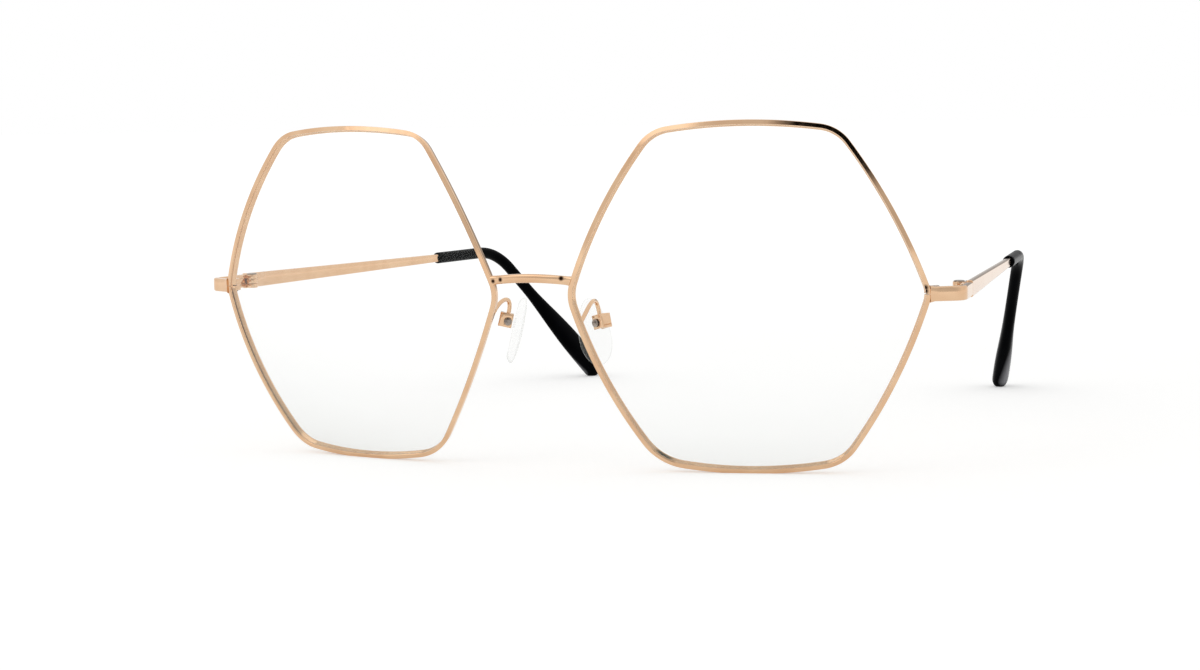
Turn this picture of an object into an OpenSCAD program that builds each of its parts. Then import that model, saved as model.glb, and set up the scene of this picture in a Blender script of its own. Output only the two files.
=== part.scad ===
// Metal sunglasses with large six-sided lenses, open and at rest on the rims and the temple tips.
// +X is the wearer's left, -Y is the front and +Z is up, in millimetres.
// The origin lies on the table, under the middle of the overall box.

/* [Lens outline] */
// Width of the six-sided outline between its nose and temple corners, before rounding
lens_w = 64; // [58:0.5:68]
// Height of the outline between its top and bottom corners
lens_h = 59; // [52:0.2:62]
// Length of the top and bottom sides between their corners
flat_w = 32.9; // [28:0.1:38]
// Height of the nose and temple corners above the middle of the outline
side_rise = 0.6; // [0:0.1:3]
// Turn of the outline that lowers its temple end, in degrees
cant = 0.6; // [0:0.1:4]
// Outward bow of each of the six sides
side_bow = 1.45; // [0.8:0.05:2.4]
// Radius of the corner at the temple
corner_temple_r = 4.5; // [4:0.5:9]
// Radius of the two top corners
corner_top_r = 7.2; // [2.5:0.1:9]
// Radius of the corner at the nose
corner_nose_r = 6.7; // [5:0.1:9]
// Radius of the lower corner on the nose side
corner_low_nose_r = 9.8; // [2.5:0.1:11]
// Radius of the lower corner on the temple side
corner_low_temple_r = 7.8; // [2.5:0.1:10]

/* [Lenses] */
// Radius of the lens curve, at mid thickness
lens_curve_r = 100; // [80:1:160]
// Thickness of a lens
lens_t = 1.2; // [1.1:0.1:1.8]
// Depth of the ridge around the lens edge
bevel_depth = 0.4; // [0.3:0.05:0.5]
// Half the width of that ridge where it leaves the edge
bevel_half_w = 0.4; // [0.3:0.05:0.5]

/* [Front] */
// Turn of each lens round the face, in degrees
wrap = 10.8; // [4:0.2:14]
// Forward lean of the top of the front, in degrees
lean = 3.6; // [0:0.1:10]
// Distance between the nose corners of the two outlines
nose_gap = 14.6; // [12:0.1:22]
// Width of the rim seen from the front
rim_w = 0.85; // [0.8:0.05:1.4]
// Depth of the rim from front to back
rim_d = 1.5; // [1.4:0.1:2.2]
// Chamfer along the outer edges of the rim
rim_chamfer = 0.15; // [0.1:0.05:0.25]
// Clearance between the lens edge and the rim groove
seat_gap = 0.05; // [0.02:0.01:0.1]
// Gap where the rim is split at the temple
split_gap = 0.4; // [0.2:0.1:0.6]
// Depth of the flats that the rims and tips rest on
rest_cut = 0.1; // [0.05:0.05:0.3]

/* [Bridge] */
// Height of the bridge bar
bridge_h = 1.6; // [1.4:0.1:2.6]
// Depth of the bridge bar from front to back
bridge_t = 1.4; // [1:0.1:1.8]
// Height of the ends of the bridge above the middle of the nose corner
bridge_up = 2.6; // [0:0.1:3]
// Rise of the bridge at its middle
bridge_rise = 0.5; // [0:0.1:3]
// Forward bulge of the bridge at its middle
bridge_bulge = 1; // [0:0.1:2.5]

/* [Rim locks] */
// Width of a lock block, out from the rim
lock_w = 2; // [1.8:0.1:2.4]
// Depth of a lock block from front to back
lock_d = 1.8; // [1.7:0.1:2.2]
// Height of each of the two halves of a lock
lock_h = 0.95; // [0.9:0.05:1.5]
// Diameter of the lock screw
lock_screw_d = 1; // [0.8:0.1:1.2]
// Diameter of the head of the lock screw
lock_head_d = 1.6; // [1.4:0.1:1.8]

/* [Endpieces] */
// Height of the endpiece bar
endpiece_h = 2.6; // [2.2:0.1:3.4]
// Thickness of the endpiece bar
endpiece_t = 1.2; // [1:0.1:1.4]
// Distance outward from the rim to the middle of the bar at the hinge
endpiece_out = 3.9; // [3.5:0.1:6]
// Distance back from the rim to the joint with the temple
endpiece_back = 12.2; // [9.5:0.1:16]
// Bend radius of the endpiece, at the middle of the bar
endpiece_bend_r = 2.2; // [1.6:0.1:2.6]

/* [Hinges] */
// Diameter of the hinge knuckles
knuckle_d = 2.3; // [2.1:0.1:2.6]
// Height of each of the three knuckles
knuckle_h = 0.85; // [0.8:0.05:1.3]
// Gap between two knuckles
knuckle_gap = 0.05; // [0.03:0.01:0.1]
// Thickness of a hinge leaf
leaf_t = 0.6; // [0.5:0.1:0.8]
// Length of a hinge leaf
leaf_len = 3.5; // [2.5:0.1:5]
// Height of a hinge leaf
leaf_h = 2.4; // [2.2:0.1:3]
// Diameter of the hinge screw
hinge_screw_d = 1.2; // [1:0.1:1.3]
// Diameter of the head of the hinge screw
hinge_head_d = 2; // [1.7:0.1:2.2]
// Radial clearance of a screw in a part that turns or slides on it
run_clear = 0.04; // [0.02:0.01:0.08]
// Radial clearance of a screw in the part that it is screwed into
thread_clear = 0.01; // [0.01:0.005:0.02]
// Gap of the closed joint between endpiece and temple
butt_gap = 0.05; // [0.03:0.01:0.1]

/* [Temples] */
// Length of the straight temple from the joint to the ear bend
temple_len = 87.6; // [80:0.2:105]
// Inward turn of the temple, in degrees
toe_in = 7.5; // [3:0.5:9]
// Downward slope of the straight temple, in degrees
temple_slope = -0.1; // [-1.5:0.1:1.5]
// Height of the temple bar at the hinge
temple_h = 3; // [2.8:0.1:3.6]
// Height of the temple bar where it enters the tip
temple_end_h = 1.7; // [1.5:0.1:2]
// Thickness of the temple bar
temple_t = 1.2; // [1:0.1:1.4]
// Distance from the joint to the start of the tip
tip_start = 69.6; // [65:0.2:76]
// Radius of the ear bend
ear_bend_r = 16; // [12:1:30]
// Downward angle of the temple tip, in degrees
ear_drop = 43; // [34:1:50]
// Further inward turn of the tip past the ear bend, in degrees
tip_turn = 13; // [0:1:16]
// Height of the tip where it starts
tip_h = 2.5; // [2.5:0.1:3.2]
// Thickness of the tip where it starts
tip_t = 2.5; // [2.1:0.1:2.8]
// Height of the paddle at the end of the tip
paddle_h = 5.4; // [4:0.1:6.5]
// Thickness of the paddle
paddle_t = 3.6; // [2.6:0.1:4]
// Roll of the paddle about its own length, which turns its outer face down a little, in degrees
paddle_roll = 15; // [0:1:20]
// Side of the wire core inside the tip
core_side = 1.3; // [1:0.1:1.4]
// Distance from the end of the core to the end of the tip
core_short = 10; // [8:1:25]

/* [Nose pads] */
// Distance from the middle of the nose to a pad screw
pad_x = 9.4; // [8.6:0.1:12]
// Distance of a pad screw behind the nose corner of the rim
pad_back = 9; // [7.5:0.1:11]
// Distance of a pad screw below the nose corner of the rim
pad_down = 5.7; // [4:0.1:9]
// Turn of a pad that opens the pair towards the face, in degrees
pad_splay = 25; // [15:1:32]
// Tilt of a pad that draws the pair together at the top, in degrees
pad_flare = 14; // [8:1:20]
// Length of a pad
pad_l = 12.5; // [11:0.5:15]
// Width of a pad
pad_w = 7.4; // [6:0.1:8.5]
// Thickness of a pad
pad_t = 1.9; // [1.4:0.1:2.6]
// Distance of the screw below the top of the pad
pad_top = 5; // [4:0.1:7]
// Diameter of the pad screw
pad_screw_d = 0.9; // [0.7:0.1:1]
// Diameter of the head of the pad screw
pad_head_d = 1.5; // [1.2:0.1:1.8]
// Thickness of the tab on the back of the pad
pad_tab_t = 1.2; // [1:0.1:1.4]
// Thickness of the walls of the pad box
pad_box_wall = 0.5; // [0.4:0.05:0.7]
// Height of the pad box
pad_box_h = 2.6; // [2.4:0.1:3]
// Distance from the pad screw out to the foot of the arm on top of the box
pad_arm_x = 0.1; // [0:0.1:0.4]
// Diameter of the wire of a pad arm
pad_wire_d = 0.8; // [0.8:0.1:1.2]
// Distance along the lower nose side of the outline to the foot of the arm, from 0 to 1
pad_arm_at = 0.1; // [0.04:0.01:0.25]
// Rise of the pad arm above its box
pad_arm_rise = 4.4; // [3:0.1:6]

/* [Hidden] */
gold = "#dcae82";
steel = "#a9a49c";
black = "#15171b";
clear = "#e6efe9";
left = 1;
right = -1;
fine = 48;

// Steps along each rounded corner and each side of the outline
corner_steps = 6;
side_steps = 8;
outline_sides = 6;
// Parts of the way from the middle of the lens to its edge where it has a ring of points
lens_rings = [0.35, 0.65, 0.87];

// Section of the rim: o is measured outward from the lens ridge, d backward
groove_o = seat_gap;
lip_o = seat_gap - bevel_depth;
rim_out = lip_o + rim_w;
groove_half_w = bevel_half_w + seat_gap;

// Vector helpers
function unit(v) = v / norm(v);
function turn2(p, a) = [p.x * cos(a) - p.y * sin(a), p.x * sin(a) + p.y * cos(a)];
function dir2(a) = [cos(a), sin(a)];
function mix(a, b, f) = a + (b - a) * f;
function clamp01(f) = min(1, max(0, f));
function ease(f) = f * f * (3 - 2 * f);
function angle_gap(a, b) = (b - a + 540) % 360 - 180;

// Corners of the outline, from the temple corner over the top, seen from the front
half_w = lens_w / 2;
half_h = lens_h / 2;
half_flat = flat_w / 2;
corners = [for (p = [
    [half_w, side_rise], [half_flat, half_h], [-half_flat, half_h],
    [-half_w, side_rise], [-half_flat, -half_h], [half_flat, -half_h]
  ]) turn2(p, -cant)];
corner_r = [corner_temple_r, corner_top_r, corner_top_r,
            corner_nose_r, corner_low_nose_r, corner_low_temple_r];

// Each side is an arc through two corners, and each corner an arc that touches both its sides
function wrap_index(i) = (i + outline_sides) % outline_sides;
function side_chord(i) = corners[wrap_index(i + 1)] - corners[wrap_index(i)];
function side_r(i) = (pow(norm(side_chord(i)), 2) / 4 + side_bow * side_bow) / (2 * side_bow);
function side_centre(i) =
  let (e = side_chord(i), out = [e.y, -e.x] / norm(e))
  (corners[wrap_index(i)] + corners[wrap_index(i + 1)]) / 2 - out * (side_r(i) - side_bow);
function meet(c1, r1, c2, r2, near) =
  let (
    e = c2 - c1,
    d = norm(e),
    a = (r1 * r1 - r2 * r2 + d * d) / (2 * d),
    h = sqrt(max(0, r1 * r1 - a * a)),
    foot = c1 + e * a / d,
    across = [-e.y, e.x] * h / d
  )
  norm(foot + across - near) < norm(foot - across - near) ? foot + across : foot - across;
function corner_centre(i) = meet(
  side_centre(i - 1), side_r(i - 1) - corner_r[i],
  side_centre(i), side_r(i) - corner_r[i], corners[i]);
function corner_from(i) =
  let (v = corner_centre(i) - side_centre(i - 1)) atan2(v.y, v.x);
function corner_to(i) =
  let (v = corner_centre(i) - side_centre(i), a = corner_from(i))
  a + angle_gap(a, atan2(v.y, v.x));

// A station of the outline is the centre and radius of its arc and the angle of its outward normal
function stations(c, r, a, b, steps) = [for (k = [0 : steps - 1]) [c, r, a + (b - a) * k / steps]];
function corner_stations(i) =
  stations(corner_centre(i), corner_r[i], corner_from(i), corner_to(i), corner_steps);
function side_stations(i) =
  let (a = corner_to(i), b = a + angle_gap(a, corner_from(wrap_index(i + 1))))
  stations(side_centre(i), side_r(i), a, b, side_steps);
function both_stations(i) = concat(corner_stations(i), side_stations(i));
closed_outline = [for (i = [0 : outline_sides - 1]) each both_stations(i)];

// The rim leaves out a short gap at the temple corner
temple_mid = (corner_from(0) + corner_to(0)) / 2;
split_angle = split_gap / 2 / corner_temple_r * 180 / PI;
temple_centre = corner_centre(0);
open_outline = concat(
  stations(temple_centre, corner_temple_r, temple_mid + split_angle, corner_to(0), corner_steps / 2),
  side_stations(0),
  [for (i = [1 : outline_sides - 1]) each both_stations(i)],
  stations(temple_centre, corner_temple_r, corner_from(0), temple_mid - split_angle, corner_steps / 2),
  [[temple_centre, corner_temple_r, temple_mid - split_angle]]
);
temple_station = [temple_centre, corner_temple_r, temple_mid];
nose_mid = (corner_from(3) + corner_to(3)) / 2;
nose_station = [corner_centre(3), corner_nose_r, nose_mid];
bridge_station = [corner_centre(3), corner_nose_r, nose_mid - asin(bridge_up / (corner_nose_r + rim_out))];
arm_angle = mix(corner_to(3), corner_to(3) + angle_gap(corner_to(3), corner_from(4)), pad_arm_at);
arm_station = [side_centre(3), side_r(3), arm_angle];

// Frame of a station on the lens curve: [point, outward, backward, along]
function station_frame(s) =
  let (
    p = s[0] + dir2(s[2]) * s[1],
    along2 = [-sin(s[2]), cos(s[2])],
    fall = sqrt(lens_curve_r * lens_curve_r - p.x * p.x - p.y * p.y),
    back = [-p.x, fall, -p.y] / lens_curve_r,
    along = unit([along2.x, (p * along2) / fall, along2.y])
  )
  [[p.x, lens_curve_r - fall, p.y], cross(back, along), back, along];
function on_station(s, o, d) =
  let (f = station_frame(s)) f[0] + f[1] * o + f[2] * d;

// From lens coordinates to the front as it stands, with the left lens at +X
function lens_sag(u) = lens_curve_r - sqrt(lens_curve_r * lens_curve_r - u * u);
lens_x = nose_gap / 2 + half_w * cos(wrap) + lens_sag(half_w) * sin(wrap);
function lean_turn(p) =
  [p.x, p.y * cos(lean) - p.z * sin(lean), p.y * sin(lean) + p.z * cos(lean)];
function front_turn(p) =
  lean_turn([p.x * cos(wrap) - p.y * sin(wrap), p.x * sin(wrap) + p.y * cos(wrap), p.z]);
function front_place(p) = front_turn(p) + lean_turn([lens_x, 0, 0]) + [0, 0, lift];

// The lowest point of the rims lies just under the table, and the flats are cut there
rim_outer_points = [for (s = closed_outline, d = [-1, 1] * (rim_d / 2 - rim_chamfer))
  front_turn(on_station(s, rim_out, d))];
lift = -min([for (p = rim_outer_points) p.z]) - rest_cut;
rim_front_y = min([for (s = closed_outline)
  front_place(on_station(s, rim_out - rim_chamfer, -rim_d / 2)).y]);

// A frame carried to the front as it stands
function placed_frame(s, o, d) =
  let (f = station_frame(s))
  [front_place(f[0] + f[1] * o + f[2] * d), front_turn(f[1]), front_turn(f[2]), front_turn(f[3])];
temple_frame = placed_frame(temple_station, rim_out, 0);
nose_frame = placed_frame(nose_station, rim_out, 0);
bridge_seat_gap = 0.04;
bridge_frame = placed_frame(bridge_station, rim_out + bridge_seat_gap, 0);

// Endpiece path in plan: out from the rim, round one bend and back to the hinge
endpiece_proud = 0.15;
endpiece_round = 0.35;
endpiece_behind = endpiece_t - rim_d / 2 - endpiece_proud;
endpiece_frame = placed_frame(temple_station, rim_out, endpiece_behind - endpiece_t / 2);
endpiece_from = endpiece_frame[0];
out_heading = atan2(endpiece_frame[1].y, endpiece_frame[1].x);
back_heading = 90 + toe_in;
hinge_point = [endpiece_from.x + endpiece_out, endpiece_from.y + endpiece_back, endpiece_from.z];
function crossing(p, a, q, b) =
  let (e = q - p, det = -cos(a) * sin(b) + cos(b) * sin(a))
  p + dir2(a) * ((-e.x * sin(b) + e.y * cos(b)) / det);
bend_corner = crossing(
  [endpiece_from.x, endpiece_from.y], out_heading, [hinge_point.x, hinge_point.y], back_heading);
bend_setback = endpiece_bend_r * tan((back_heading - out_heading) / 2);
bend_centre = bend_corner - dir2(out_heading) * bend_setback + dir2(out_heading + 90) * endpiece_bend_r;
bend_steps = 6;
endpiece_path = concat(
  [for (k = [0 : bend_steps])
    let (h = mix(out_heading, back_heading, k / bend_steps))
    [bend_centre + dir2(h - 90) * endpiece_bend_r, h]],
  [[[hinge_point.x, hinge_point.y], back_heading]]
);

// Hinge sizes, in the frame of the joint: x outward, y back along the temple
knuckle_off = 0.12;
web_from = 0.1;
hinge_axis_x = -endpiece_t / 2 - knuckle_d / 2 - knuckle_off;
knuckle_pitch = knuckle_h + knuckle_gap;
leaf_from = knuckle_d / 2 + knuckle_off;
hinge_half_h = 1.5 * knuckle_h + knuckle_gap;
hinge_head_h = 0.25;

// Temple path: straight, round the ear bend and down to the table
bend_len = ear_bend_r * (ear_drop - temple_slope) * PI / 180;
bend_at = temple_len + bend_len;
function pitch_at(s) = mix(temple_slope, ear_drop, clamp01((s - temple_len) / bend_len));
function yaw_at(s) = toe_in + tip_turn * clamp01((s - temple_len) / bend_len);
function heading(s) =
  let (p = pitch_at(s), a = yaw_at(s)) [-sin(a) * cos(p), cos(a) * cos(p), -sin(p)];
function side_of(s) = [cos(yaw_at(s)), sin(yaw_at(s)), 0];
function up_of(s) = cross(side_of(s), heading(s));
ear_point = hinge_point + heading(0) * temple_len;
integral_steps = 16;
function bend_point(x) =
  let (
    parts = [for (k = [0 : integral_steps - 1]) heading(temple_len + x * (k + 0.5) / integral_steps)],
    ones = [for (k = [0 : integral_steps - 1]) 1]
  )
  ear_point + ones * parts * x / integral_steps;
function temple_point(s) =
  s <= temple_len ? hinge_point + heading(0) * s :
  s <= bend_at ? bend_point(s - temple_len) :
  bend_point(bend_len) + heading(s) * (s - bend_at);

// Rounded end of the paddle: rings that shrink over one half of its height
paddle_round = paddle_h / 2;
end_angles = [0, 25, 48, 68, 82];
function end_back(a) = paddle_round * (1 - sin(a));
tip_sides = 12;
function oval(h, t, n) = [for (k = [0 : n - 1])
  let (a = 360 * (k + 0.5) / n) [h / 2 * cos(a), t / 2 * sin(a)]];
function ring(p, up, side, section) = [for (q = section) p + up * q.x + side * q.y];
function rolled_up(s, roll) = up_of(s) * cos(roll) + side_of(s) * sin(roll);
function rolled_side(s, roll) = side_of(s) * cos(roll) - up_of(s) * sin(roll);
end_low = -min([for (a = end_angles) each [for (q = ring(
    -heading(bend_at) * end_back(a), rolled_up(bend_at, paddle_roll), rolled_side(bend_at, paddle_roll),
    oval(paddle_h * cos(a), paddle_t * cos(a), tip_sides))) q.z]]);
tip_cut = 0.2;
tip_run = (bend_point(bend_len).z - end_low + tip_cut) / sin(ear_drop);
temple_end = bend_at + tip_run;
swell_from = 7;
paddle_run = 12;
belly_run = 6;
function tip_swell(s, run) = ease(clamp01((s - bend_at - swell_from) / (tip_run - run - swell_from)));
tip_ring_at = concat(
  [tip_start, tip_start + 1.2, mix(tip_start, temple_len, 0.6), temple_len],
  [for (k = [1 : 5]) mix(temple_len, bend_at, k / 5)],
  [for (k = [1 : 7]) mix(bend_at, temple_end - paddle_run, k / 7)],
  [mix(temple_end - paddle_run, temple_end - paddle_round, 0.5)],
  [for (a = end_angles) temple_end - end_back(a)]
);
function end_scale(s) =
  let (e = temple_end - s) e >= paddle_round ? 1 : sqrt(1 - pow(1 - e / paddle_round, 2));
function start_scale(s) = s <= tip_start ? 0.88 : 1;
function tip_ring(s) =
  let (f = tip_swell(s, paddle_run), belly = pow(tip_swell(s, belly_run), 2), z = end_scale(s) * start_scale(s))
  ring(temple_point(s), rolled_up(s, paddle_roll * f), rolled_side(s, paddle_roll * f),
    oval(mix(tip_h, paddle_h, f) * z, mix(tip_t, paddle_t, belly) * z, tip_sides));
tip_rings = [for (s = tip_ring_at) tip_ring(s)];

// The temple bar tapers to the tip, and its core runs on inside
core_end = temple_end - core_short;
core_ease = 4;
bar_ring_at = concat(
  [butt_gap, 1, mix(0, tip_start, 0.35), mix(0, tip_start, 0.7), tip_start - core_ease, tip_start],
  [tip_start + core_ease, temple_len],
  [for (k = [1 : 6]) mix(temple_len, bend_at, k / 6)],
  [core_end]
);
function bar_h(s) =
  s <= tip_start ? mix(temple_h, temple_end_h, s / tip_start) :
  mix(temple_end_h, core_side, clamp01((s - tip_start) / core_ease));
function bar_t(s) = mix(temple_t, core_side, clamp01((s - tip_start) / core_ease));
// A bar section of twelve points, with three on each rounded corner
round_in = 0.3;
function rounded(h, t, c) = [
  for (q = [[1, 1], [-1, 1], [-1, -1], [1, -1]])
    let (
      face = [q.x * h / 2, q.y * (t / 2 - c)],
      mid = [q.x * (h / 2 - round_in * c), q.y * (t / 2 - round_in * c)],
      edge = [q.x * (h / 2 - c), q.y * t / 2]
    )
    each (q.x * q.y > 0 ? [face, mid, edge] : [edge, mid, face])
];
bar_round = 0.3;
core_clear = 0.03;
function bar_ring(s, grow) =
  ring(temple_point(s), up_of(s), side_of(s), rounded(bar_h(s) + 2 * grow, bar_t(s) + 2 * grow, bar_round));

// Middle of the overall box from front to back
tip_back_y = max([for (r = tip_rings, p = r) p.y]);
bridge_front_y = bridge_frame[0].y - bridge_bulge - bridge_t / 2;
y_shift = -(min(rim_front_y, bridge_front_y) + tip_back_y) / 2;

// Nose pads, in the frame of the pad screw: x outward from the nose, y back along the screw, z up the pad
pad_point = [pad_x, nose_frame[0].y + pad_back, nose_frame[0].z - pad_down];
pad_box_half = pad_tab_t / 2 + run_clear + pad_box_wall;
pad_tab_r = 0.9;
pad_tab_clear = 0.1;
pad_box_back = 0.6;
pad_box_front = -pad_tab_r;
pad_box_inner = pad_tab_r + pad_tab_clear;
pad_box_outer = pad_box_inner + pad_box_back;
pad_box_low = -1.1;
pad_box_top = pad_box_low + pad_box_h;
pad_lid = pad_box_top - pad_box_inner;
pad_lid_front = -0.4;
pad_face_gap = 0.4;
pad_back_x = pad_box_front - pad_face_gap;
pad_mid_z = pad_top - pad_l / 2;
pad_points = 28;
pad_taper = 0.22;
// Each ring of the pad is the part of its thickness and the part of its outline that it reaches
pad_rings = [[0, 0.84], [0.22, 0.98], [0.5, 1], [0.75, 0.9], [0.93, 0.62]];
function pad_ring(x, f) = [for (k = [0 : pad_points - 1])
  let (a = 360 * k / pad_points)
  [x, pad_w / 2 * sin(a) * (1 - pad_taper * cos(a)) * f, pad_mid_z + pad_l / 2 * cos(a) * f]];

// Pad arm: a wire that rises behind the rim and comes down on the box
arm_seat_gap = 0.02;
arm_foot = placed_frame(arm_station, (lip_o + rim_out) / 2, rim_d / 2 + arm_seat_gap);
function pad_turn(p) =
  let (
    q = [p.x * cos(pad_flare) - p.z * sin(pad_flare), p.y, p.x * sin(pad_flare) + p.z * cos(pad_flare)]
  )
  [q.x * cos(pad_splay) + q.y * sin(pad_splay), -q.x * sin(pad_splay) + q.y * cos(pad_splay), q.z];
arm_top = pad_point + pad_turn([pad_arm_x, 0, pad_box_top]);
arm_up = pad_turn([0, 0, 1]);
arm_bend = [
  arm_foot[0],
  arm_foot[0] + arm_foot[2] * pad_arm_rise * 0.9 + [0, 0, pad_arm_rise * 0.7],
  arm_top + arm_up * pad_arm_rise,
  arm_top
];
arm_steps = 14;
function bezier(c, t) =
  c[0] * pow(1 - t, 3) + c[1] * 3 * t * pow(1 - t, 2) + c[2] * 3 * t * t * (1 - t) + c[3] * pow(t, 3);
function bezier_way(c, t) = unit(
  (c[1] - c[0]) * pow(1 - t, 2) + (c[2] - c[1]) * 2 * t * (1 - t) + (c[3] - c[2]) * t * t);
function wire_ring(p, way, d) =
  let (side = unit([1, 0, 0] - way * way.x), up = cross(side, way))
  ring(p, up, side, oval(d, d, 8));

// A solid through rings of points, each one turning to the right as seen along the way;
// a point in tips closes that end, and a flat face closes it otherwise
module loft(rings, tips = []) {
  n = len(rings[0]);
  last = (len(rings) - 1) * n;
  sides = [for (j = [0 : len(rings) - 2], k = [0 : n - 1], h = [0, 1])
    let (a = j * n + k, b = j * n + (k + 1) % n)
    h == 0 ? [a, a + n, b + n] : [a, b + n, b]];
  first_tip = last + n;
  last_tip = first_tip + 1;
  first_face = len(tips) > 1 ?
    [for (k = [0 : n - 1]) [first_tip, k, (k + 1) % n]] :
    [[for (k = [0 : n - 1]) k]];
  end_tip = len(tips) > 1 ? last_tip : first_tip;
  last_face = len(tips) > 0 ?
    [for (k = [0 : n - 1]) [end_tip, last + (k + 1) % n, last + k]] :
    [[for (k = [n - 1 : -1 : 0]) last + k]];
  polyhedron(
    points = concat([for (r = rings) each r], tips),
    faces = concat(sides, first_face, last_face),
    convexity = 6);
}

// Both sides share one shape, seen in a mirror
module on_side(side) {
  translate([0, y_shift, 0]) {
    if (side == left) {
      children();
    } else {
      mirror([1, 0, 0]) children();
    }
  }
}

module on_front() {
  translate([0, 0, lift])
    rotate([lean, 0, 0])
      translate([lens_x, 0, 0])
        rotate([0, 0, wrap])
          children();
}

module on_hinge() {
  translate(hinge_point)
    rotate([0, 0, toe_in])
      children();
}

module on_pad() {
  translate(pad_point)
    rotate([0, 0, -pad_splay])
      rotate([0, -pad_flare, 0])
        children();
}

// The lock stands on the outside of the rim: x outward, y backward, z along the rim
module on_lock() {
  on_front()
    translate(station_frame(temple_station)[0])
      rotate([0, -temple_mid, 0])
        rotate([0, 0, asin(station_frame(temple_station)[0].x / lens_curve_r)])
          children();
}

module table() {
  translate([-500, -500, -50]) cube([1000, 1000, 50]);
}

module rim(side) {
  section = [
    [groove_o, 0], [lip_o, -groove_half_w], [lip_o, -rim_d / 2],
    [rim_out - rim_chamfer, -rim_d / 2], [rim_out, rim_chamfer - rim_d / 2],
    [rim_out, rim_d / 2 - rim_chamfer], [rim_out - rim_chamfer, rim_d / 2],
    [lip_o, rim_d / 2], [lip_o, groove_half_w]
  ];
  color(gold)
    difference() {
      on_side(side)
        on_front()
          loft([for (s = open_outline) [for (q = section) on_station(s, q.x, q.y)]]);
      table();
    }
}

// A ring of a lens face: part of the way out to the edge, on the curve of that face
function face_ring(f, d) = [for (s = closed_outline)
  let (
    e = on_station(s, -bevel_depth, d),
    u = e.x * f,
    v = e.z * f,
    r = lens_curve_r - d
  )
  [u, lens_curve_r - sqrt(r * r - u * u - v * v), v]];
function edge_ring(o, d) = [for (s = closed_outline) on_station(s, o, d)];

module lens(side) {
  back = lens_t / 2;
  rings = concat(
    [for (f = lens_rings) face_ring(f, back)],
    [edge_ring(-bevel_depth, back), edge_ring(-bevel_depth, bevel_half_w), edge_ring(0, 0)],
    [edge_ring(-bevel_depth, -bevel_half_w), edge_ring(-bevel_depth, -back)],
    [for (k = [len(lens_rings) - 1 : -1 : 0]) face_ring(lens_rings[k], -back)]
  );
  color(clear, 0.35)
    on_side(side)
      on_front()
        loft(rings, [[0, back, 0], [0, -back, 0]]);
}

lock_from = rim_out;
lock_gap = 0.05;
lock_screw_out = 0.1;
lock_back = endpiece_behind + lock_gap;
lock_screw_x = lock_from + lock_w / 2 + lock_screw_out;
lock_screw_y = lock_back + lock_d / 2;
lock_head_h = 0.25;

// One half of a lock, with the hole that its screw passes or bites
module lock_half(side, up, clearance) {
  color(gold)
    on_side(side)
      on_lock()
        difference() {
          translate([lock_from, lock_back, up > 0 ? split_gap / 2 : -split_gap / 2 - lock_h])
            cube([lock_w, lock_d, lock_h]);
          translate([lock_screw_x, lock_screw_y, up > 0 ? 0 : -split_gap / 2 - lock_h - 1])
            cylinder(h = lock_h + 1 + split_gap / 2, r = lock_screw_d / 2 + clearance, $fn = fine);
        }
}

module lock_screw(side) {
  shank = 2 * lock_h + split_gap;
  color(steel)
    on_side(side)
      on_lock()
        translate([lock_screw_x, lock_screw_y, 0])
          rotate([180, 0, 0])
            difference() {
              union() {
                translate([0, 0, -shank / 2])
                  cylinder(h = shank, d = lock_screw_d, $fn = fine);
                translate([0, 0, shank / 2])
                  cylinder(h = lock_head_h, d = lock_head_d, $fn = fine);
              }
              screw_slot(shank / 2 + lock_head_h, lock_head_d);
            }
}

// Slot across the top of a screw head at the height z
module screw_slot(z, head_d) {
  slot_w = 0.25;
  slot_deep = 0.2;
  translate([-head_d, -slot_w / 2, z - slot_deep])
    cube([2 * head_d, slot_w, 2 * slot_deep]);
}

bridge_round = 0.4;

module bridge() {
  steps = 12;
  section = rounded(bridge_h, bridge_t, bridge_round);
  foot = bridge_frame[0];
  reach = foot.x;
  seat = ring(foot, -bridge_frame[3], bridge_frame[2], section);
  middle = [for (k = [1 : steps - 1])
    let (f = 1 - 2 * k / steps, swell = 1 - f * f)
    ring([reach * f, foot.y - bridge_bulge * swell, foot.z + bridge_rise * swell],
      [0, 0, 1], [0, 1, 0], section)];
  far_seat = [for (p = seat) [-p.x, p.y, p.z]];
  color(gold)
    translate([0, y_shift, 0])
      loft(concat([seat], middle, [far_seat]));
}

module endpiece(side) {
  section = rounded(endpiece_h, endpiece_t, endpiece_round);
  seat = ring(endpiece_from, endpiece_frame[3], -endpiece_frame[2], section);
  color(gold)
    on_side(side)
      loft(concat([seat], [for (p = endpiece_path)
        ring([p[0].x, p[0].y, endpiece_from.z], [0, 0, 1], [sin(p[1]), -cos(p[1]), 0], section)]));
}

// A knuckle with the web that joins it to its leaf; way is -1 towards the front, 1 towards the temple
module knuckle(index, way, clearance) {
  z = (index - 0.5) * knuckle_pitch - knuckle_pitch + knuckle_gap / 2;
  reach = leaf_from + web_from;
  translate([0, 0, z])
    difference() {
      union() {
        translate([hinge_axis_x, 0, 0])
          cylinder(h = knuckle_h, d = knuckle_d, $fn = fine);
        translate([-endpiece_t / 2 - leaf_t, way > 0 ? web_from : -reach, 0])
          cube([leaf_t, reach - web_from, knuckle_h]);
      }
      translate([hinge_axis_x, 0, -1])
        cylinder(h = knuckle_h + 2, r = hinge_screw_d / 2 + clearance, $fn = fine);
    }
}

module hinge_leaf(way) {
  translate([-endpiece_t / 2 - leaf_t, way > 0 ? leaf_from : -leaf_from - leaf_len, -leaf_h / 2])
    cube([leaf_t, leaf_len, leaf_h]);
}

module hinge_front(side) {
  color(gold)
    on_side(side)
      on_hinge() {
        hinge_leaf(-1);
        knuckle(0, -1, thread_clear);
        knuckle(2, -1, run_clear);
      }
}

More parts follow.
